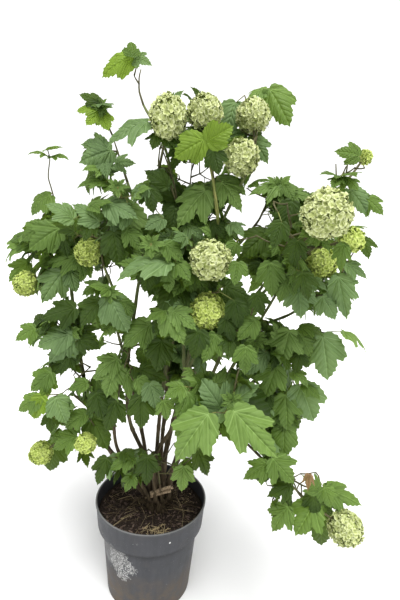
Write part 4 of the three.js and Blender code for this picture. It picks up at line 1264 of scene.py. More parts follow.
PETAL_LENGTH = 6.5
YOUNG_PETAL_LENGTH = 5.0
PETALS = 5
PETAL_HALF = [(0.2, 0.12), (0.42, 0.4), (0.47, 0.7), (0.32, 0.94)]
PETAL_HEART = (0, 0.58)
FLORET_SPACING = 0.67
FLORET_KINDS = 8
FLORET_SINK = 0.85
YOUNG_FLORET_SINK = 0.35
FLORET_SIZES = (0.85, 0.3)
FLORET_ASTRAY = 0.22
FLORET_TILT = 1.1
# How far petals lift, cup and curl: the most, and what is taken off.
PETAL_LIFT = (0.9, 0.1)
PETAL_CUP = (1.8, 0.3)
PETAL_CURL = (1.6, 0.2)
PETAL_CRUMPLE = 0.16
PETAL_TURN = 0.3
PETAL_OUT_AT_HEART = 0.35
BALL_LUMPS = 0.03
HEART_SHARE = 0.97
HEART_RINGS = 14
HEART_SIDES = 20
HEART_POLE = 0.02
SNOWBALLS_SEED = 5200
# A snowball that is longer than it is wide, by its mass, and how much longer.
LONG_BALLS = {"foliage_top_left": 1.16}


def floret_template(draw):
    """Five petals round a centre, each raised, cupped and curled in its own way: points, faces, outs."""
    right = np.array(PETAL_HALF)
    rim = np.concatenate([[(0, 0)], right, [(0, 1.0)], right[::-1] * (-1, 1)])
    flat = np.concatenate([[PETAL_HEART], rim])
    across, forward = flat.T
    fan = fan_faces(len(rim))
    points, faces, outs = [], [], []
    for petal in range(PETALS):
        angle = (petal + PETAL_TURN * (draw() - 0.5)) * 2 * math.pi / PETALS
        turn = np.array([[math.cos(angle), math.sin(angle)], [-math.sin(angle), math.cos(angle)]])
        lift, cup, curl = (most * draw() - less for most, less in (PETAL_LIFT, PETAL_CUP, PETAL_CURL))
        height = lift * forward + cup * across**2 - curl * np.maximum(0, forward - 0.5) ** 2
        height = height + PETAL_CRUMPLE * np.array([draw() - 0.5 for _ in flat])
        points.append(np.column_stack([flat * varied(FLORET_SIZES, draw()) @ turn, height]))
        faces.append(fan + petal * len(flat))
        outs.append(np.r_[PETAL_OUT_AT_HEART, 0, np.linalg.norm(rim[1:], axis=1)])
    return np.concatenate(points), np.concatenate(faces), np.concatenate(outs)


def jog(draw):
    """A small random step in any direction."""
    return vec(draw() - 0.5, draw() - 0.5, draw() - 0.5)


def snowball(ball, templates, pile, core, draw):
    """Florets spread evenly over a ball, round a heart that closes the gaps between them."""
    petal = YOUNG_PETAL_LENGTH if ball["young"] else PETAL_LENGTH
    radius = ball["radius"] - (YOUNG_FLORET_SINK if ball["young"] else FLORET_SINK) * petal
    long_way = vec(1, 1, ball["stretch"])
    count = round(4 * radius**2 / (FLORET_SPACING * petal) ** 2)
    for k in range(count):
        height = 1 - (2 * (k + 0.5)) / count
        out = about(k * GOLDEN_ANGLE, math.sqrt(1 - height * height), height)
        out = unit(out + FLORET_ASTRAY * jog(draw))
        lump = 1 + BALL_LUMPS * math.sin(5 * out[0] + 3 * out[2]) + BALL_LUMPS * (draw() - 0.5)
        tilt = unit(out + FLORET_TILT * jog(draw))
        side = unit(np.cross(tilt, unit(jog(draw))))
        other = np.cross(tilt, side)
        points, faces, outs = templates[int(draw() * len(templates))]
        placed = points * petal * varied(FLORET_SIZES, draw())
        world = ball["centre"] + (out * radius * lump + placed @ np.array([side, other, tilt])) * long_way
        pile.add(world, faces, outs, draw())
    polar = np.linspace(HEART_POLE, math.pi - HEART_POLE, HEART_RINGS)
    around = all_round(HEART_SIDES)
    grid = np.stack([
        np.outer(np.sin(polar), np.cos(around)), np.outer(np.sin(polar), np.sin(around)),
        np.outer(-np.cos(polar), np.ones(HEART_SIDES)),
    ], -1).reshape(-1, 3)
    heart = ball["centre"] + grid * radius * HEART_SHARE * long_way
    core.add(heart, ring_faces(HEART_RINGS, HEART_SIDES))


def make_snowballs(crown, materials):
    draw = seeded(SNOWBALLS_SEED)
    templates = [floret_template(draw) for _ in range(FLORET_KINDS)]
    old, young, core = Pile(), Pile(), Pile()
    for ball in crown.balls:
        snowball(ball, templates, young if ball["young"] else old, core, draw)
    old.piece("snowball_florets", materials["petal"], "foliage", ["out", "tone"])
    young.piece("young_snowball_florets", materials["young_petal"], "foliage", ["out", "tone"])
    core.piece("snowball_hearts", materials["ball_heart"], "foliage")


# ---- pot, soil and foot ----

POT_SIDES = 144
POT_STEP = 12
POT_ROUNDING = 1.6
POT_FOOT_BEVEL = 2
CORNER_STEPS = 4
# Surfaces of revolution end this near their axis.
AXIS_HOLE = 0.01


def lathed(profile, sides):
    """The surface that a profile of radii and heights sweeps round the upright axis."""
    profile = np.array(profile, float)
    around = all_round(sides)
    rings = [np.column_stack([r * np.cos(around), r * np.sin(around), np.full(sides, z)]) for r, z in profile]
    return np.concatenate(rings), ring_faces(len(profile), sides)


def rounded(corners, radius):
    """The profile with each inner corner rounded off."""
    corners = [np.array(corner, float) for corner in corners]
    made = [corners[0]]
    for before, corner, after in zip(corners, corners[1:], corners[2:]):
        reach = min(radius, 0.45 * np.linalg.norm(before - corner), 0.45 * np.linalg.norm(after - corner))
        start = corner + unit(before - corner) * reach
        end = corner + unit(after - corner) * reach
        made.extend(bent_path(start, corner, end, CORNER_STEPS))
    return [*made, corners[-1]]


def finely(profile, step):
    """The profile with more points on its long straight stretches."""
    made = [profile[0]]
    for before, after in zip(profile, profile[1:]):
        count = max(1, round(float(np.linalg.norm(after - before)) / step))
        made.extend(before + (after - before) * (k + 1) / count for k in range(count))
    return made


def make_pot(material):
    ledge = POT_HEIGHT - COLLAR_HEIGHT
    lip = POT_HEIGHT - LIP_HEIGHT
    corners = [
        (AXIS_HOLE, 0), (POT_FOOT_RADIUS - POT_FOOT_BEVEL, 0), (POT_FOOT_RADIUS, POT_FOOT_BEVEL),
        (POT_BODY_RADIUS, ledge), (COLLAR_FOOT_RADIUS, ledge), (RIM_RADIUS, lip),
        (RIM_RADIUS + LIP_OVERHANG, lip), (RIM_RADIUS + LIP_OVERHANG, POT_HEIGHT),
        (RIM_RADIUS - POT_WALL, POT_HEIGHT), (COLLAR_FOOT_RADIUS - POT_WALL, ledge + POT_WALL),
        (POT_BODY_RADIUS - POT_WALL, ledge + POT_WALL), (POT_FOOT_RADIUS - POT_WALL, POT_FLOOR),
        (AXIS_HOLE, POT_FLOOR),
    ]
    pile = Pile()
    pile.add(*lathed(finely(rounded(corners, POT_ROUNDING), POT_STEP), POT_SIDES))
    piece = pile.piece("pot_shell", material, "pot")
    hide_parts("pot")


SOIL_SEED = 6100
SOIL_RINGS = 66
SOIL_SIDES = 160
SOIL_WALL_SIDES = 64
SOIL_TO_WALL = 3
# Bumps of the soil: how far apart they are, and how high.
SOIL_LUMPS = ((33, 1.5), (13, 1.3), (5.4, 1.0), (2.6, 0.6))


def lumps(x, y, draw):
    """Soft bumps of several sizes over the ground."""
    phases = [[6.28 * draw() for _ in range(4)] for _ in SOIL_LUMPS]
    total = np.zeros_like(x)
    for (a, b, c, d), (pitch, height) in zip(phases, SOIL_LUMPS):
        total += height * np.sin(x / pitch + a + 1.7 * np.sin(y / pitch * 0.8 + b))
        total += height * np.sin(y / pitch * 1.1 + c + 1.5 * np.sin(x / pitch * 0.9 + d))
    return total


def make_soil(material):
    ledge = POT_HEIGHT - COLLAR_HEIGHT
    wall = COLLAR_FOOT_RADIUS - POT_WALL - 1
    reach = wall + (RIM_RADIUS - COLLAR_FOOT_RADIUS) * 0.4
    radii = np.linspace(AXIS_HOLE, reach, SOIL_RINGS)
    around = all_round(SOIL_SIDES)
    x, y = np.outer(radii, np.cos(around)).ravel(), np.outer(radii, np.sin(around)).ravel()
    dish = SOIL_TOP - SOIL_DISH * (np.hypot(x, y) / reach) ** 3
    pile = Pile()
    top = np.column_stack([x, y, dish + lumps(x, y, seeded(SOIL_SEED))])
    pile.add(top, ring_faces(SOIL_RINGS, SOIL_SIDES))
    below = [(POT_FOOT_RADIUS - SOIL_TO_WALL, POT_FLOOR + 1), (POT_BODY_RADIUS - SOIL_TO_WALL, ledge),
             (wall, ledge + 4), (reach, SOIL_TOP - SOIL_DISH)]
    pile.add(*lathed(below, SOIL_WALL_SIDES))
    piece = pile.piece("soil_bed", material, "soil")
    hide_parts("soil")


LITTER_SEED = 6200
# A chip of bark: rings along it and their sizes, and the corners of a ring.
CHIP_RINGS = ((-0.5, 0.45), (-0.2, 1), (0.25, 0.9), (0.5, 0.4))
CHIP_CORNERS = ((1, 0), (0.2, 1), (-1, 0.3), (-0.3, -1))
CHIPS = 900
CHIP_REACH = 126
CHIP_DISH_RADIUS = 133
CHIP_LENGTHS = (3, 9)
CHIP_WIDTHS = (0.35, 0.3)
STRAWS = 74
CLUMP_STRAWS = 48
STRAW_CLUMP = vec(22, -92, SOIL_TOP + 2)
STRAW_CLUMP_REACH = 34
STRAW_REACH = 120
STRAW_LENGTH = 12
CLUMP_STRAW_LENGTH = 8
STRAW_LONGER = 20
STRAW_RADII = (0.65, 0.35)
LONG_TWIG_RADII = (0.95, 0.5)
FIBRES = 90
FIBRE_PLACES = (40, 85)
FIBRE_LENGTHS = (16, 34)
FIBRE_RADII = (0.55, 0.3)
CRUMBS = 46
CRUMB_PLACE = (178, 497)
CRUMB_REACH = (40, 26)
CRUMB_LENGTHS = (1.5, 4)
ON_SOIL = 3
# Long thin twigs on the soil, as the pixels where they show.
LONG_TWIGS = [
    [(171, 489), (178, 500), (183, 512), (182, 527)], [(138, 502), (143, 511), (147, 521)],
    [(112, 527), (124, 519), (134, 514)], [(152, 500), (153, 509), (158, 516)],
    [(172, 508), (184, 511), (194, 512)], [(118, 500), (130, 497), (141, 499)],
]


def chip(centre, length, width, thickness, bearing, tilt):
    """A short rough splinter, thinner at its ends."""
    heading = about(bearing) * math.cos(tilt) + UP * math.sin(tilt)
    side = unit(np.cross(UP, heading))
    other = np.cross(heading, side)
    points = [
        centre + heading * along * length + side * a * width * size / 2 + other * b * thickness * size / 2
        for along, size in CHIP_RINGS for a, b in CHIP_CORNERS
    ]
    return np.array(points), ring_faces(len(CHIP_RINGS), len(CHIP_CORNERS))


def on_soil(x, y):
    """The place on the soil that shows at a pixel."""
    front, back = behind_pixel(x, y, -200), behind_pixel(x, y, 200)
    return front + (back - front) * (SOIL_TOP - front[2]) / (back[2] - front[2])


def make_chips(pile, draw):
    """Bark chips and clods all over the soil."""
    for _ in range(CHIPS):
        distance, bearing = CHIP_REACH * math.sqrt(draw()), 2 * math.pi * draw()
        dish = SOIL_TOP - SOIL_DISH * (distance / CHIP_DISH_RADIUS) ** 3
        centre = about(bearing, distance, dish + 1.5 + 2 * draw())
        length = varied(CHIP_LENGTHS, draw() ** 2.5)
        width = length * varied(CHIP_WIDTHS, draw())
        bearing, tilt = 6.28 * draw(), 0.5 * (draw() - 0.5)
        pile.add(*chip(centre, length, width, length * 0.3, bearing, tilt), draw())


def make_straws(pile, draw):
    """Pale straw, most of it in one clump at the front."""
    for k in range(STRAWS):
        clump = k < CLUMP_STRAWS
        distance = STRAW_CLUMP_REACH * draw() if clump else STRAW_REACH * math.sqrt(draw())
        bearing = 2 * math.pi * draw()
        middle = STRAW_CLUMP if clump else vec(0, 0, SOIL_TOP + ON_SOIL)
        centre = middle + about(bearing, distance, 6 * draw()) * (1, 0.5, 1)
        heading = 2 * math.pi * draw()
        length = (CLUMP_STRAW_LENGTH if clump else STRAW_LENGTH) + STRAW_LONGER * draw()
        half = about(heading, 1.0, 0.3 * (draw() - 0.5)) * length / 2
        bend = centre + vec(0, 0, 5 * draw()) + 9 * (draw() - 0.5)
        path = bent_path(centre - half, bend, centre + half, 6)
        tone = (0.45 if clump else 0.05) + 0.5 * draw()
        pile.add_tube(path, STRAW_RADII, 4, tone)


def make_fibres(pile, draw):
    """Fine stalks that have fallen across the soil, towards the stems."""
    for _ in range(FIBRES):
        distance, bearing = varied(FIBRE_PLACES, math.sqrt(draw())), 2 * math.pi * draw()
        start = about(bearing, distance, SOIL_TOP + ON_SOIL)
        heading = bearing + math.pi + 1.6 * (draw() - 0.5)
        reach = about(heading) * varied(FIBRE_LENGTHS, draw())
        sideways = vec(-reach[1], reach[0], 0) * 0.5 * (draw() - 0.5)
        bend = start + reach / 2 + sideways + UP * 6 * draw()
        path = bent_path(start, bend, start + reach + UP * 5 * draw(), 7)
        pile.add_tube(path, FIBRE_RADII, 4, 0.7 * draw() ** 3)


def make_crumbs(pile, draw):
    """Pale crumbs, in one patch of the soil."""
    for _ in range(CRUMBS):
        distance, bearing = math.sqrt(draw()), 2 * math.pi * draw()
        centre = on_soil(*CRUMB_PLACE) + UP * ON_SOIL
        centre = centre + about(bearing) * (*CRUMB_REACH, 0) * distance
        length = varied(CRUMB_LENGTHS, draw() ** 2)
        bearing, tilt = 6.28 * draw(), draw() - 0.5
        pile.add(*chip(centre, length, 0.6 * length, 0.5 * length, bearing, tilt), 0.6 + 0.4 * draw())


def make_litter(materials):
    """Bark chips, clods, thin twigs and pale straw that lie on the soil."""
    draw = seeded(LITTER_SEED)
    chips, straw = Pile(), Pile()
    make_chips(chips, draw)
    make_straws(straw, draw)
    for pixels in LONG_TWIGS:
        way = [on_soil(x, y) + UP * 3 * draw() for x, y in pixels]
        straw.add_tube(smooth_path(way, 4), LONG_TWIG_RADII, 5, 0.55)
    make_fibres(straw, draw)
    make_crumbs(straw, draw)
    chips.piece("soil_litter", materials["litter"], "soil", ["tone"])
    straw.piece("soil_straw", materials["straw"], "soil", ["tone"])


STUBS = 4
STUB_RADIUS = 4
DEAD_STEMS = 84
FOOT_SHARE = 0.86
# An old stem cut off short, that leans out over the soil: its foot and its end.
CUT_STEM = (vec(0, -26, SOIL_TOP + 46), vec(52, -40, SOIL_TOP + 80))
CUT_STEM_RADIUS = 3.1
CUT_STEMS = 3
FOOT_SEED = 6300
BURL_RINGS = 22
BURL_SIDES = 44
BURL_SHARE = 0.93
# How wide and how high the foot is, at shares of the way from its edge to its middle.
BURL_OUTLINE = ([0, 0.25, 0.6, 0.85, 1], [1.0, 0.9, 0.76, 0.5, 0.02])
BURL_HEIGHTS = ([0, 0.25, 0.6, 0.85, 1], [-4, 8, 22, STUMP_HEIGHT - 2, STUMP_HEIGHT])
# Its knots: how deep they are, how many go round it, and how they lean.
BURL_WAVES = ((0.1, 5, 4), (0.07, 11, -7), (0.05, 23, 19))


def make_burl(pile):
    """The low knotted foot itself, from its edge to its middle."""
    share = np.linspace(0, 1, BURL_RINGS)
    around = all_round(BURL_SIDES)
    outline = np.interp(share, *BURL_OUTLINE) * FOOT_SHARE * STUMP_RADIUS
    height = np.interp(share, *BURL_HEIGHTS)
    burl = 1
    for depth, waves, lean in BURL_WAVES:
        burl = burl + depth * np.sin(waves * around + lean * share[:, None])
    x = outline[:, None] * np.cos(around) * burl * BURL_SHARE
    y = outline[:, None] * np.sin(around) * burl * BURL_SHARE
    z = SOIL_TOP + np.repeat(height[:, None], BURL_SIDES, 1) + 3 * (burl - 1) * 10
    points = np.column_stack([x.ravel(), y.ravel(), z.ravel()]) + vec(*STUMP_CENTRE, 0)
    pile.add(points, ring_faces(BURL_RINGS, BURL_SIDES), 1.0)


def cut_stems(draw):
    """The foot, top and radius of each old stem that was cut short."""
    stubs = []
    for k in range(CUT_STEMS):
        foot, end = CUT_STEM[0] + UP * 4.4 * k, CUT_STEM[1] + UP * 4 * k
        stubs.append((foot + jog(draw) * 6, end + jog(draw) * 9, CUT_STEM_RADIUS))
    for k in range(STUBS):
        out = about(2 * math.pi * (k + 0.5 * draw()) / STUBS)
        foot = vec(*STUMP_CENTRE, 0) + out * STUMP_RADIUS * (0.5 + 0.3 * draw()) + UP * (SOIL_TOP + 6)
        top = foot + out * 8 * draw() + UP * (14 + 20 * draw())
        stubs.append((foot, top, STUB_RADIUS * (0.6 + 0.5 * draw())))
    return stubs


def make_dead_stems(pile, draw):
    """Thin dead stems that stand round the foot."""
    for _ in range(DEAD_STEMS):
        bearing, distance = 2 * math.pi * draw(), STUMP_RADIUS * (0.35 + 0.6 * draw())
        foot = vec(*STUMP_CENTRE, 0) + about(bearing) * distance + UP * (SOIL_TOP + 1)
        lean = vec(math.cos(bearing + draw() - 0.5), math.sin(bearing + draw() - 0.5), 0)
        top = foot + lean * (8 + 34 * draw()) + UP * (14 + 60 * draw() ** 1.5)
        path = bent_path(foot, foot + UP * 16 + lean * 5, top, 8)
        radius = 0.8 + 1.3 * draw() ** 2
        pile.add_tube(path, (1.5 * radius, 0.6 * radius), 6, 0.75 + 0.25 * draw())


def make_foot(materials):
    """The rough crown that the stems rise from, with old stems cut short."""
    draw = seeded(FOOT_SEED)
    pile, cuts = Pile(), Pile()
    make_burl(pile)
    for foot, top, radius in cut_stems(draw):
        path = bent_path(foot, (foot + top) / 2 + UP * 2, top, 7)
        radii, relief = tapered((1.25 * radius, radius), len(path)), bark_relief(len(path), 60, draw)
        points, faces = tube(path, radii, BARK_SIDES, relief, closed=False)
        (cuts if radius == CUT_STEM_RADIUS else pile).add(points, faces, 1.0)
        rim = points[-BARK_SIDES:]
        face = np.concatenate([[rim.mean(axis=0) + unit(top - foot) * 0.4], rim])
        cuts.add(face, fan_faces(BARK_SIDES), 1.0)
    make_dead_stems(pile, draw)
    piece = pile.piece("foot_of_the_shrub", materials["bark"], "bark", ["age"])
    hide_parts("stump")
    cuts.piece("cut_ends", materials["cut_wood"], "bark")


# ---- materials ----


class Finish:
    """A material of one Principled shader, with helpers for the nodes that feed it."""

    def __init__(self, name, roughness, **values):
        self.material = bpy.data.materials.new(name)
        self.material.use_nodes = True
        self.tree = self.material.node_tree
        self.shader = self.tree.nodes["Principled BSDF"]
        self.out = self.tree.nodes["Material Output"]
        self.place = self.tree.nodes.new("ShaderNodeTexCoord").outputs["Object"]
        self.shader.inputs["Roughness"].default_value = roughness
        for socket, value in values.items():
            self.shader.inputs[socket.replace("_", " ")].default_value = value

    def node(self, kind, **inputs):
        node = self.tree.nodes.new(kind)
        for name, value in inputs.items():
            self.feed(node.inputs[name.replace("_", " ")], value)
        return node

    def feed(self, socket, value):
        if isinstance(value, bpy.types.NodeSocket):
            self.tree.links.new(value, socket)
        else:
            socket.default_value = value

    def noise(self, scale, detail=3.0, roughness=0.55, stretch=None):
        place = self.place
        if stretch:
            place = self.node("ShaderNodeMapping", Vector=place, Scale=stretch).outputs["Vector"]
        noise = self.node("ShaderNodeTexNoise", Vector=place, Scale=scale, Detail=detail, Roughness=roughness)
        return noise.outputs["Fac"]

    def mark(self, name):
        node = self.tree.nodes.new("ShaderNodeAttribute")
        node.attribute_name = name
        return node.outputs["Fac"]

    def ramp(self, factor, *stops):
        """Colours, or greys, at places from 0 to 1."""
        node = self.node("ShaderNodeValToRGB", Fac=factor)
        elements = node.color_ramp.elements
        while len(elements) < len(stops):
            elements.new(0.5)
        for element, (place, colour) in zip(elements, stops):
            element.position = place
            grey = not isinstance(colour, tuple)
            element.color = (colour, colour, colour, 1) if grey else (*colour, 1)
        return node.outputs["Color"]

    def mixed(self, factor, a, b):
        node = self.tree.nodes.new("ShaderNodeMix")
        node.data_type = "RGBA"
        for index, value in ((0, factor), (6, a), (7, b)):
            value = (*value, 1) if isinstance(value, tuple) and len(value) == 3 else value
            self.feed(node.inputs[index], value)
        return node.outputs[2]

    def calc(self, a, b, how="ADD"):
        node = self.tree.nodes.new("ShaderNodeMath")
        node.operation = how
        self.feed(node.inputs[0], a)
        self.feed(node.inputs[1], b)
        return node.outputs[0]

    def times(self, a, b):
        return self.calc(a, b, "MULTIPLY")

    def colour(self, value):
        self.feed(self.shader.inputs["Base Color"], value)

    def roughness(self, factor, low, high):
        self.feed(self.shader.inputs["Roughness"], self.ramp(factor, (0.2, low), (0.8, high)))

    def bump(self, height, strength, distance):
        node = self.node("ShaderNodeBump", Height=height, Strength=strength, Distance=distance)
        self.feed(self.shader.inputs["Normal"], node.outputs["Normal"])


# Deep leaves are painted dark as the shade inside the crown; blue ones are painted paler and bluer as the
# sky's sheen.
LEAF_COLOURS = {
    "deep": ((0.017, 0.038, 0.006), (0.060, 0.101, 0.021)),
    "mid": ((0.064, 0.116, 0.022), (0.160, 0.244, 0.066)),
    "blue": ((0.090, 0.150, 0.050), (0.200, 0.292, 0.135)),
    "fresh": ((0.106, 0.180, 0.036), (0.208, 0.306, 0.098)),
    "bright": ((0.132, 0.212, 0.023), (0.220, 0.322, 0.048)),
    "withered": ((0.170, 0.095, 0.055), (0.370, 0.200, 0.140)),
}
# Petals in their middle, at their rim (paler, a painted highlight) and at their heart (greener, with painted
# shade).
PETAL_COLOURS = {
    "petal": ((0.41, 0.455, 0.18), (0.60, 0.64, 0.37), (0.24, 0.285, 0.09)),
    "young_petal": ((0.385, 0.465, 0.105), (0.58, 0.66, 0.24), (0.215, 0.285, 0.052)),
}
OLD_BARK_COLOURS = ((0.25, (0.036, 0.026, 0.016)), (0.55, (0.110, 0.084, 0.052)), (0.8, (0.25, 0.205, 0.14)))
YOUNG_BARK_COLOURS = ((0.25, (0.105, 0.128, 0.048)), (0.75, (0.240, 0.270, 0.125)))
WOOD_COLOURS = ((0.25, (0.062, 0.060, 0.026)), (0.75, (0.140, 0.130, 0.056)))
STALK_COLOURS = ((0.3, (0.150, 0.180, 0.045)), (0.8, (0.260, 0.240, 0.085)))
HEART_COLOURS = ((0.3, (0.28, 0.34, 0.10)), (0.75, (0.42, 0.49, 0.16)))
CUT_WOOD_COLOURS = ((0.3, (0.17, 0.125, 0.08)), (0.75, (0.46, 0.36, 0.24)))
SOIL_COLOURS = ((0.3, (0.019, 0.014, 0.012)), (0.52, (0.060, 0.045, 0.037)), (0.75, (0.19, 0.155, 0.130)))
SOIL_PATCH = (0.066, 0.048, 0.038)
LITTER_COLOURS = ((0.026, 0.018, 0.016), (0.27, 0.20, 0.165))
STRAW_COLOURS = ((0.09, 0.06, 0.04), (0.80, 0.66, 0.40))
POT_DARK, POT_LIGHT = (0.036, 0.038, 0.043), (0.054, 0.055, 0.062)
DUST_COLOUR = (0.12, 0.113, 0.105)
SPLASH_COLOUR = (0.105, 0.080, 0.056)
HAZE_COLOUR = (0.21, 0.21, 0.205)
LIME_COLOUR = (0.38, 0.38, 0.37)
SPECK_COLOUR = (0.7, 0.7, 0.68)
# The colour of the painted highlight on the lip.
LIP_HIGHLIGHT_COLOUR = (0.32, 0.32, 0.31)
# The colour of the painted shadow under the collar.
COLLAR_SHADOW_COLOUR = (0.014, 0.014, 0.015)
FLECK_COLOUR = (0.5, 0.5, 0.48)
FLOOR_GREYS = ((0.3, 0.86), (0.7, 0.90))
LEAF_GLOW = 0.25
# The colour of light that comes through a leaf.
THROUGH_LEAF = (0.42, 0.62, 0.06)
RIB_WIDTH = 0.014
BRANCH_SPACING = 0.075
BRANCH_WIDTH = 0.011
VEIN_RIDGE = 0.05
# How steeply the branches of the veins rise, inside and outside the side ribs.
BRANCH_RISES = (1.0, 0.3)


def rib_distance(finish, across, along, rib):
    """How far a point is from the line of a rib."""
    rise, run = rib
    ahead = finish.times(finish.calc(along, LEAF_JUNCTION[1], "SUBTRACT"), run)
    aside = finish.times(across, rise)
    return finish.calc(finish.calc(aside, ahead, "SUBTRACT"), 0.0, "ABSOLUTE")


def leaf_veins(finish):
    """How far a point is from a leaf's three ribs, and from the branches between them."""
    across = finish.calc(finish.mark("across"), 0.0, "ABSOLUTE")
    along = finish.mark("along")
    side = rib_distance(finish, across, along, SIDE_RIB)
    low = rib_distance(finish, across, along, LOW_RIB)
    ribs = finish.calc(finish.calc(side, low, "MINIMUM"), across, "MINIMUM")
    inner, outer = (finish.calc(along, finish.times(across, rise), "SUBTRACT")
                    for rise in BRANCH_RISES)
    beyond = finish.calc(inner, LEAF_JUNCTION[1], "LESS_THAN")
    place = finish.calc(inner, finish.times(beyond, finish.calc(outer, inner, "SUBTRACT")))
    return ribs, finish.calc(place, BRANCH_SPACING, "PINGPONG")


def leaf_finish(kind):
    """A blade that is paler along its veins, puckered between them, and lets some light through."""
    finish = Finish(f"leaf_{kind}", 0.5, Specular_IOR_Level=0.3)
    low, high = LEAF_COLOURS[kind]
    mottle = finish.noise(55, 4)
    shade = finish.calc(finish.times(mottle, 0.55), finish.times(finish.mark("tone"), 0.5))
    blade = finish.ramp(shade, (0.12, low), (0.85, high))
    ribs, branches = leaf_veins(finish)
    pale = tuple(min(1, 1.5 * c + 0.035) for c in high)
    colour = finish.mixed(finish.ramp(branches, (0.0, 0.24), (BRANCH_WIDTH, 0.0)), blade, pale)
    colour = finish.mixed(finish.ramp(ribs, (0.0, 0.6), (RIB_WIDTH, 0.0)), colour, pale)
    finish.colour(colour)
    finish.roughness(mottle, 0.42, 0.6)
    between_ribs = finish.ramp(ribs, (0.0, 0.0), (VEIN_RIDGE, 1.0))
    quilt = finish.calc(between_ribs, finish.ramp(branches, (0.0, 0.0), (VEIN_RIDGE, 0.7)))
    finish.bump(finish.calc(quilt, finish.times(finish.noise(420, 3), 0.35)), 0.7, 0.0024)
    glow = finish.node("ShaderNodeBsdfTranslucent", Color=finish.mixed(0.5, colour, THROUGH_LEAF))
    mix = finish.node("ShaderNodeMixShader", Fac=LEAF_GLOW)
    finish.tree.links.new(finish.shader.outputs["BSDF"], mix.inputs[1])
    finish.tree.links.new(glow.outputs["BSDF"], mix.inputs[2])
    finish.tree.links.new(mix.outputs["Shader"], finish.out.inputs["Surface"])
    return finish.material


def petal_finish(name, base, rim, heart):
    """Petals that darken into their greener heart, with painted shade there, and pale to a painted highlight
    at the rim.
    """
    finish = Finish(name, 0.62, Specular_IOR_Level=0.35)
    spread = finish.calc(finish.mark("out"), finish.times(finish.mark("tone"), 0.22))
    petal = finish.ramp(spread, (0.05, heart), (0.5, base), (1.0, rim))
    finish.colour(finish.mixed(finish.ramp(finish.noise(60), (0.35, 0.0), (0.8, 0.5)), petal, base))
    finish.bump(finish.noise(330, 3), 0.6, 0.0012)
    return finish.material


def bark_finish():
    """Green bark that turns brown and grey with age."""
    finish = Finish("bark", 0.78, Specular_IOR_Level=0.3)
    grain = finish.noise(160, 5, 0.65, stretch=(1, 1, 0.16))
    patches = finish.noise(26, 4)
    old = finish.ramp(grain, *OLD_BARK_COLOURS)
    young = finish.ramp(grain, *YOUNG_BARK_COLOURS)
    age = finish.calc(finish.mark("age"), finish.times(finish.calc(patches, 0.5, "SUBTRACT"), 0.9))
    finish.colour(finish.mixed(finish.ramp(age, (0.25, 0.0), (0.75, 1.0)), young, old))
    finish.roughness(grain, 0.65, 0.9)
    finish.bump(finish.calc(grain, finish.times(finish.noise(700, 3), 0.4)), 0.6, 0.0012)
    return finish.material


def twig_finish():
    finish = Finish("green_twig", 0.55, Specular_IOR_Level=0.4)
    wood = finish.ramp(finish.noise(130, 4), *WOOD_COLOURS)
    stalk = finish.ramp(finish.noise(70, 2), *STALK_COLOURS)
    finish.colour(finish.mixed(finish.mark("green"), wood, stalk))
    finish.bump(finish.noise(600, 2), 0.3, 0.0005)
    return finish.material


def heart_finish():
    finish = Finish("snowball_heart", 0.8)
    finish.colour(finish.ramp(finish.noise(260, 4), *HEART_COLOURS))
    finish.bump(finish.noise(420, 3), 0.6, 0.001)
    return finish.material


# A splash of lime on the pot: the middle and the reach of its haze and of its pale crust.
LIME_HAZE = ((-0.086, -0.083, 0.158), 0.060)
LIME_PATCH = ((-0.060, -0.104, 0.136), 0.054)
# A fleck of paint on the collar: its middle and its reach.
SPECK = ((0.0597, -0.125, 0.2255), 0.004)
# A highlight is painted along the lip between these heights.
LIP_HIGHLIGHT_HEIGHTS = (0.2538, 0.2554)
# A shadow is painted under the collar, darkest in the corner just below it, between these heights.
COLLAR_SHADOW_HEIGHTS = (0.166, 0.1905, 0.1935)


def near(finish, centre, reach):
    """1 at a place on the surface, falling to 0 at `reach` metres from it."""
    far = finish.node("ShaderNodeVectorMath")
    far.operation = "DISTANCE"
    finish.feed(far.inputs[0], finish.place)
    far.inputs[1].default_value = centre
    return finish.ramp(finish.calc(far.outputs["Value"], reach, "DIVIDE"), (0.0, 1.0), (1.0, 0.0))


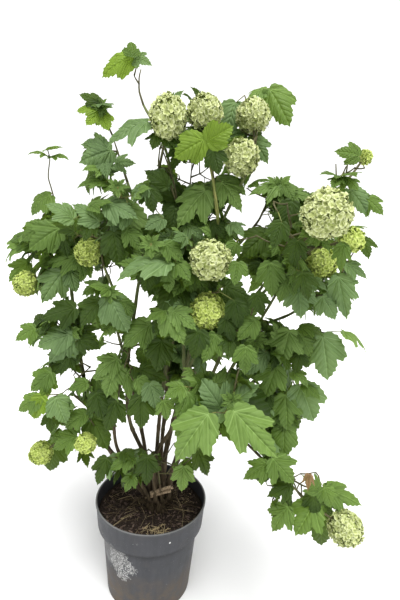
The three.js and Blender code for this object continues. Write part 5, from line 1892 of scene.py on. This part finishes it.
def pot_finish():
    """Dull plastic with dust, soil splashed from below, a splash of lime, painted lip highlight and collar
    shadow.
    """
    finish = Finish("pot_plastic", 0.5, Specular_IOR_Level=0.45)
    streaks = finish.noise(70, 5, 0.6, stretch=(1, 1, 0.12))
    dust = finish.noise(34, 5, 0.62)
    body = finish.ramp(streaks, (0.2, POT_DARK), (0.8, POT_LIGHT))
    body = finish.mixed(finish.ramp(dust, (0.5, 0.0), (0.85, 0.35)), body, DUST_COLOUR)
    height = finish.node("ShaderNodeSeparateXYZ", Vector=finish.place).outputs["Z"]
    low = finish.ramp(height, (0.04, 0.9), (0.12, 0.0))
    splash = finish.times(low, finish.ramp(dust, (0.35, 0.1), (0.6, 1.0)))
    body = finish.mixed(splash, body, SPLASH_COLOUR)
    ragged = finish.times(finish.noise(42, 5, 0.7), 1.4)
    hazy = finish.ramp(finish.calc(near(finish, *LIME_HAZE), ragged), (0.95, 0.0), (1.3, 0.45))
    body = finish.mixed(hazy, body, HAZE_COLOUR)
    limed = finish.ramp(finish.calc(near(finish, *LIME_PATCH), ragged), (0.95, 0.0), (1.2, 1.0))
    crust = finish.ramp(finish.noise(290, 6, 0.72), (0.47, 0.0), (0.56, 1.0))
    body = finish.mixed(finish.times(limed, crust), body, LIME_COLOUR)
    speck = finish.ramp(near(finish, *SPECK), (0.3, 0.0), (0.6, 1.0))
    body = finish.mixed(speck, body, SPECK_COLOUR)
    # A painted highlight along the lip.
    lip_highlight = finish.ramp(height, (LIP_HIGHLIGHT_HEIGHTS[0], 0.0), (LIP_HIGHLIGHT_HEIGHTS[1], 0.9))
    body = finish.mixed(lip_highlight, body, LIP_HIGHLIGHT_COLOUR)
    # A painted shadow under the collar.
    collar_shadow = finish.ramp(height, (COLLAR_SHADOW_HEIGHTS[0], 0.0), (COLLAR_SHADOW_HEIGHTS[1], 0.92), (COLLAR_SHADOW_HEIGHTS[2], 0.0))
    body = finish.mixed(collar_shadow, body, COLLAR_SHADOW_COLOUR)
    flecks = finish.ramp(finish.noise(900, 2), (0.73, 0.0), (0.76, 0.7))
    finish.colour(finish.mixed(flecks, body, FLECK_COLOUR))
    finish.roughness(dust, 0.38, 0.68)
    finish.bump(finish.calc(finish.noise(1400, 2), finish.times(streaks, 0.6)), 0.14, 0.0008)
    return finish.material


def soil_finish():
    finish = Finish("compost", 0.95, Specular_IOR_Level=0.2)
    crumbs = finish.noise(340, 6, 0.7)
    patches = finish.noise(40, 4)
    dark = finish.ramp(crumbs, *SOIL_COLOURS)
    finish.colour(finish.mixed(finish.ramp(patches, (0.4, 0.0), (0.8, 0.5)), dark, SOIL_PATCH))
    finish.bump(crumbs, 1.0, 0.004)
    return finish.material


def toned_finish(name, low, high, roughness, bump_scale):
    """A dry natural thing whose pieces differ in tone."""
    finish = Finish(name, roughness, Specular_IOR_Level=0.25)
    grain = finish.noise(bump_scale, 4)
    shade = finish.calc(finish.times(grain, 0.5), finish.times(finish.mark("tone"), 0.5))
    finish.colour(finish.ramp(shade, (0.15, low), (0.85, high)))
    finish.bump(grain, 0.5, 0.0008)
    return finish.material


def cut_wood_finish():
    finish = Finish("cut_wood", 0.8)
    finish.colour(finish.ramp(finish.noise(300, 4), *CUT_WOOD_COLOURS))
    finish.bump(finish.noise(500, 3), 0.4, 0.0006)
    return finish.material


def floor_finish():
    finish = Finish("pale_floor", 0.85)
    finish.colour(finish.ramp(finish.noise(3, 2), *FLOOR_GREYS))
    return finish.material


# ---- floor, light and camera ----

FLOOR_SIZE = 30.0
SKY_STRENGTH = 0.86
SKY_GREYS = ((0.42, 1.18), (0.6, 0.25))
SUN_STRENGTH = 3.85
SUN_SPREAD = math.radians(48)
SUN_FROM = (0.12, -0.4, 1.0)


def make_floor():
    mesh = bpy.data.meshes.new("floor")
    half = FLOOR_SIZE / 2
    corners = [(-half, -half, 0), (half, -half, 0), (half, half, 0), (-half, half, 0)]
    mesh.from_pydata(corners, [], [(0, 1, 2, 3)])
    mesh.materials.append(floor_finish())
    floor = bpy.data.objects.new("floor", mesh)
    bpy.context.scene.collection.objects.link(floor)
    floor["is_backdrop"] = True


def make_light():
    """An overcast sky, with a broad soft sun from the front."""
    world = bpy.data.worlds.new("soft_sky")
    world.use_nodes = True
    nodes, links = world.node_tree.nodes, world.node_tree.links
    sky = nodes["Background"]
    height = nodes.new("ShaderNodeSeparateXYZ")
    links.new(nodes.new("ShaderNodeTexCoord").outputs["Generated"], height.inputs["Vector"])
    fall = nodes.new("ShaderNodeValToRGB")
    links.new(height.outputs["Z"], fall.inputs["Fac"])
    for element, (place, grey) in zip(fall.color_ramp.elements, SKY_GREYS):
        element.position = place
        element.color = (grey, grey, grey, 1)
    links.new(fall.outputs["Color"], sky.inputs["Color"])
    sky.inputs["Strength"].default_value = SKY_STRENGTH
    bpy.context.scene.world = world
    lamp = bpy.data.lights.new("soft_sun", "SUN")
    lamp.energy = SUN_STRENGTH
    lamp.angle = SUN_SPREAD
    light = bpy.data.objects.new("soft_sun", lamp)
    light.rotation_euler = Vector(SUN_FROM).to_track_quat("Z", "Y").to_euler()
    bpy.context.scene.collection.objects.link(light)


def make_camera():
    """A camera on the photographer's line of sight, tilted down and a little askew."""
    lens = bpy.data.cameras.new("camera")
    lens.sensor_width = SENSOR
    lens.lens = SENSOR * PICTURE_SCALE / PICTURE_SIZE[1]
    camera = bpy.data.objects.new("camera", lens)
    place = np.eye(4)
    place[:3, :3] = (CAMERA_AXES * np.array([[1], [1], [-1]])).T
    place[:3, 3] = CAMERA_PLACE * MM
    camera.matrix_world = Matrix(place.tolist())
    bpy.context.scene.collection.objects.link(camera)
    bpy.context.scene.camera = camera
    bpy.context.scene.view_settings.view_transform = "Standard"
    bpy.context.scene.view_settings.look = "Medium High Contrast"


# ---- the scene ----


def make_scene():
    crown = grow_crown()
    materials = {kind: leaf_finish(kind) for kind in LEAF_KINDS}
    for name, colours in PETAL_COLOURS.items():
        materials[name] = petal_finish(name, *colours)
    materials["ball_heart"] = heart_finish()
    materials["bark"] = bark_finish()
    materials["cut_wood"] = cut_wood_finish()
    materials["litter"] = toned_finish("litter", *LITTER_COLOURS, 0.9, 300)
    materials["straw"] = toned_finish("straw", *STRAW_COLOURS, 0.8, 200)
    make_limbs(crown.limbs, materials["bark"])
    twigs = make_twigs(crown, twig_finish())
    make_leaves(crown, materials)
    make_snowballs(crown, materials)
    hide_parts(*[mass[0] for mass in MASSES])
    make_pot(pot_finish())
    make_soil(soil_finish())
    make_litter(materials)
    make_foot(materials)
    make_floor()
    make_light()
    make_camera()


make_scene()
boxes = {"cad": CAD_BOX, "visual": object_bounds()}
{name: [[float(x) for x in corner] for corner in box] for name, box in boxes.items()}
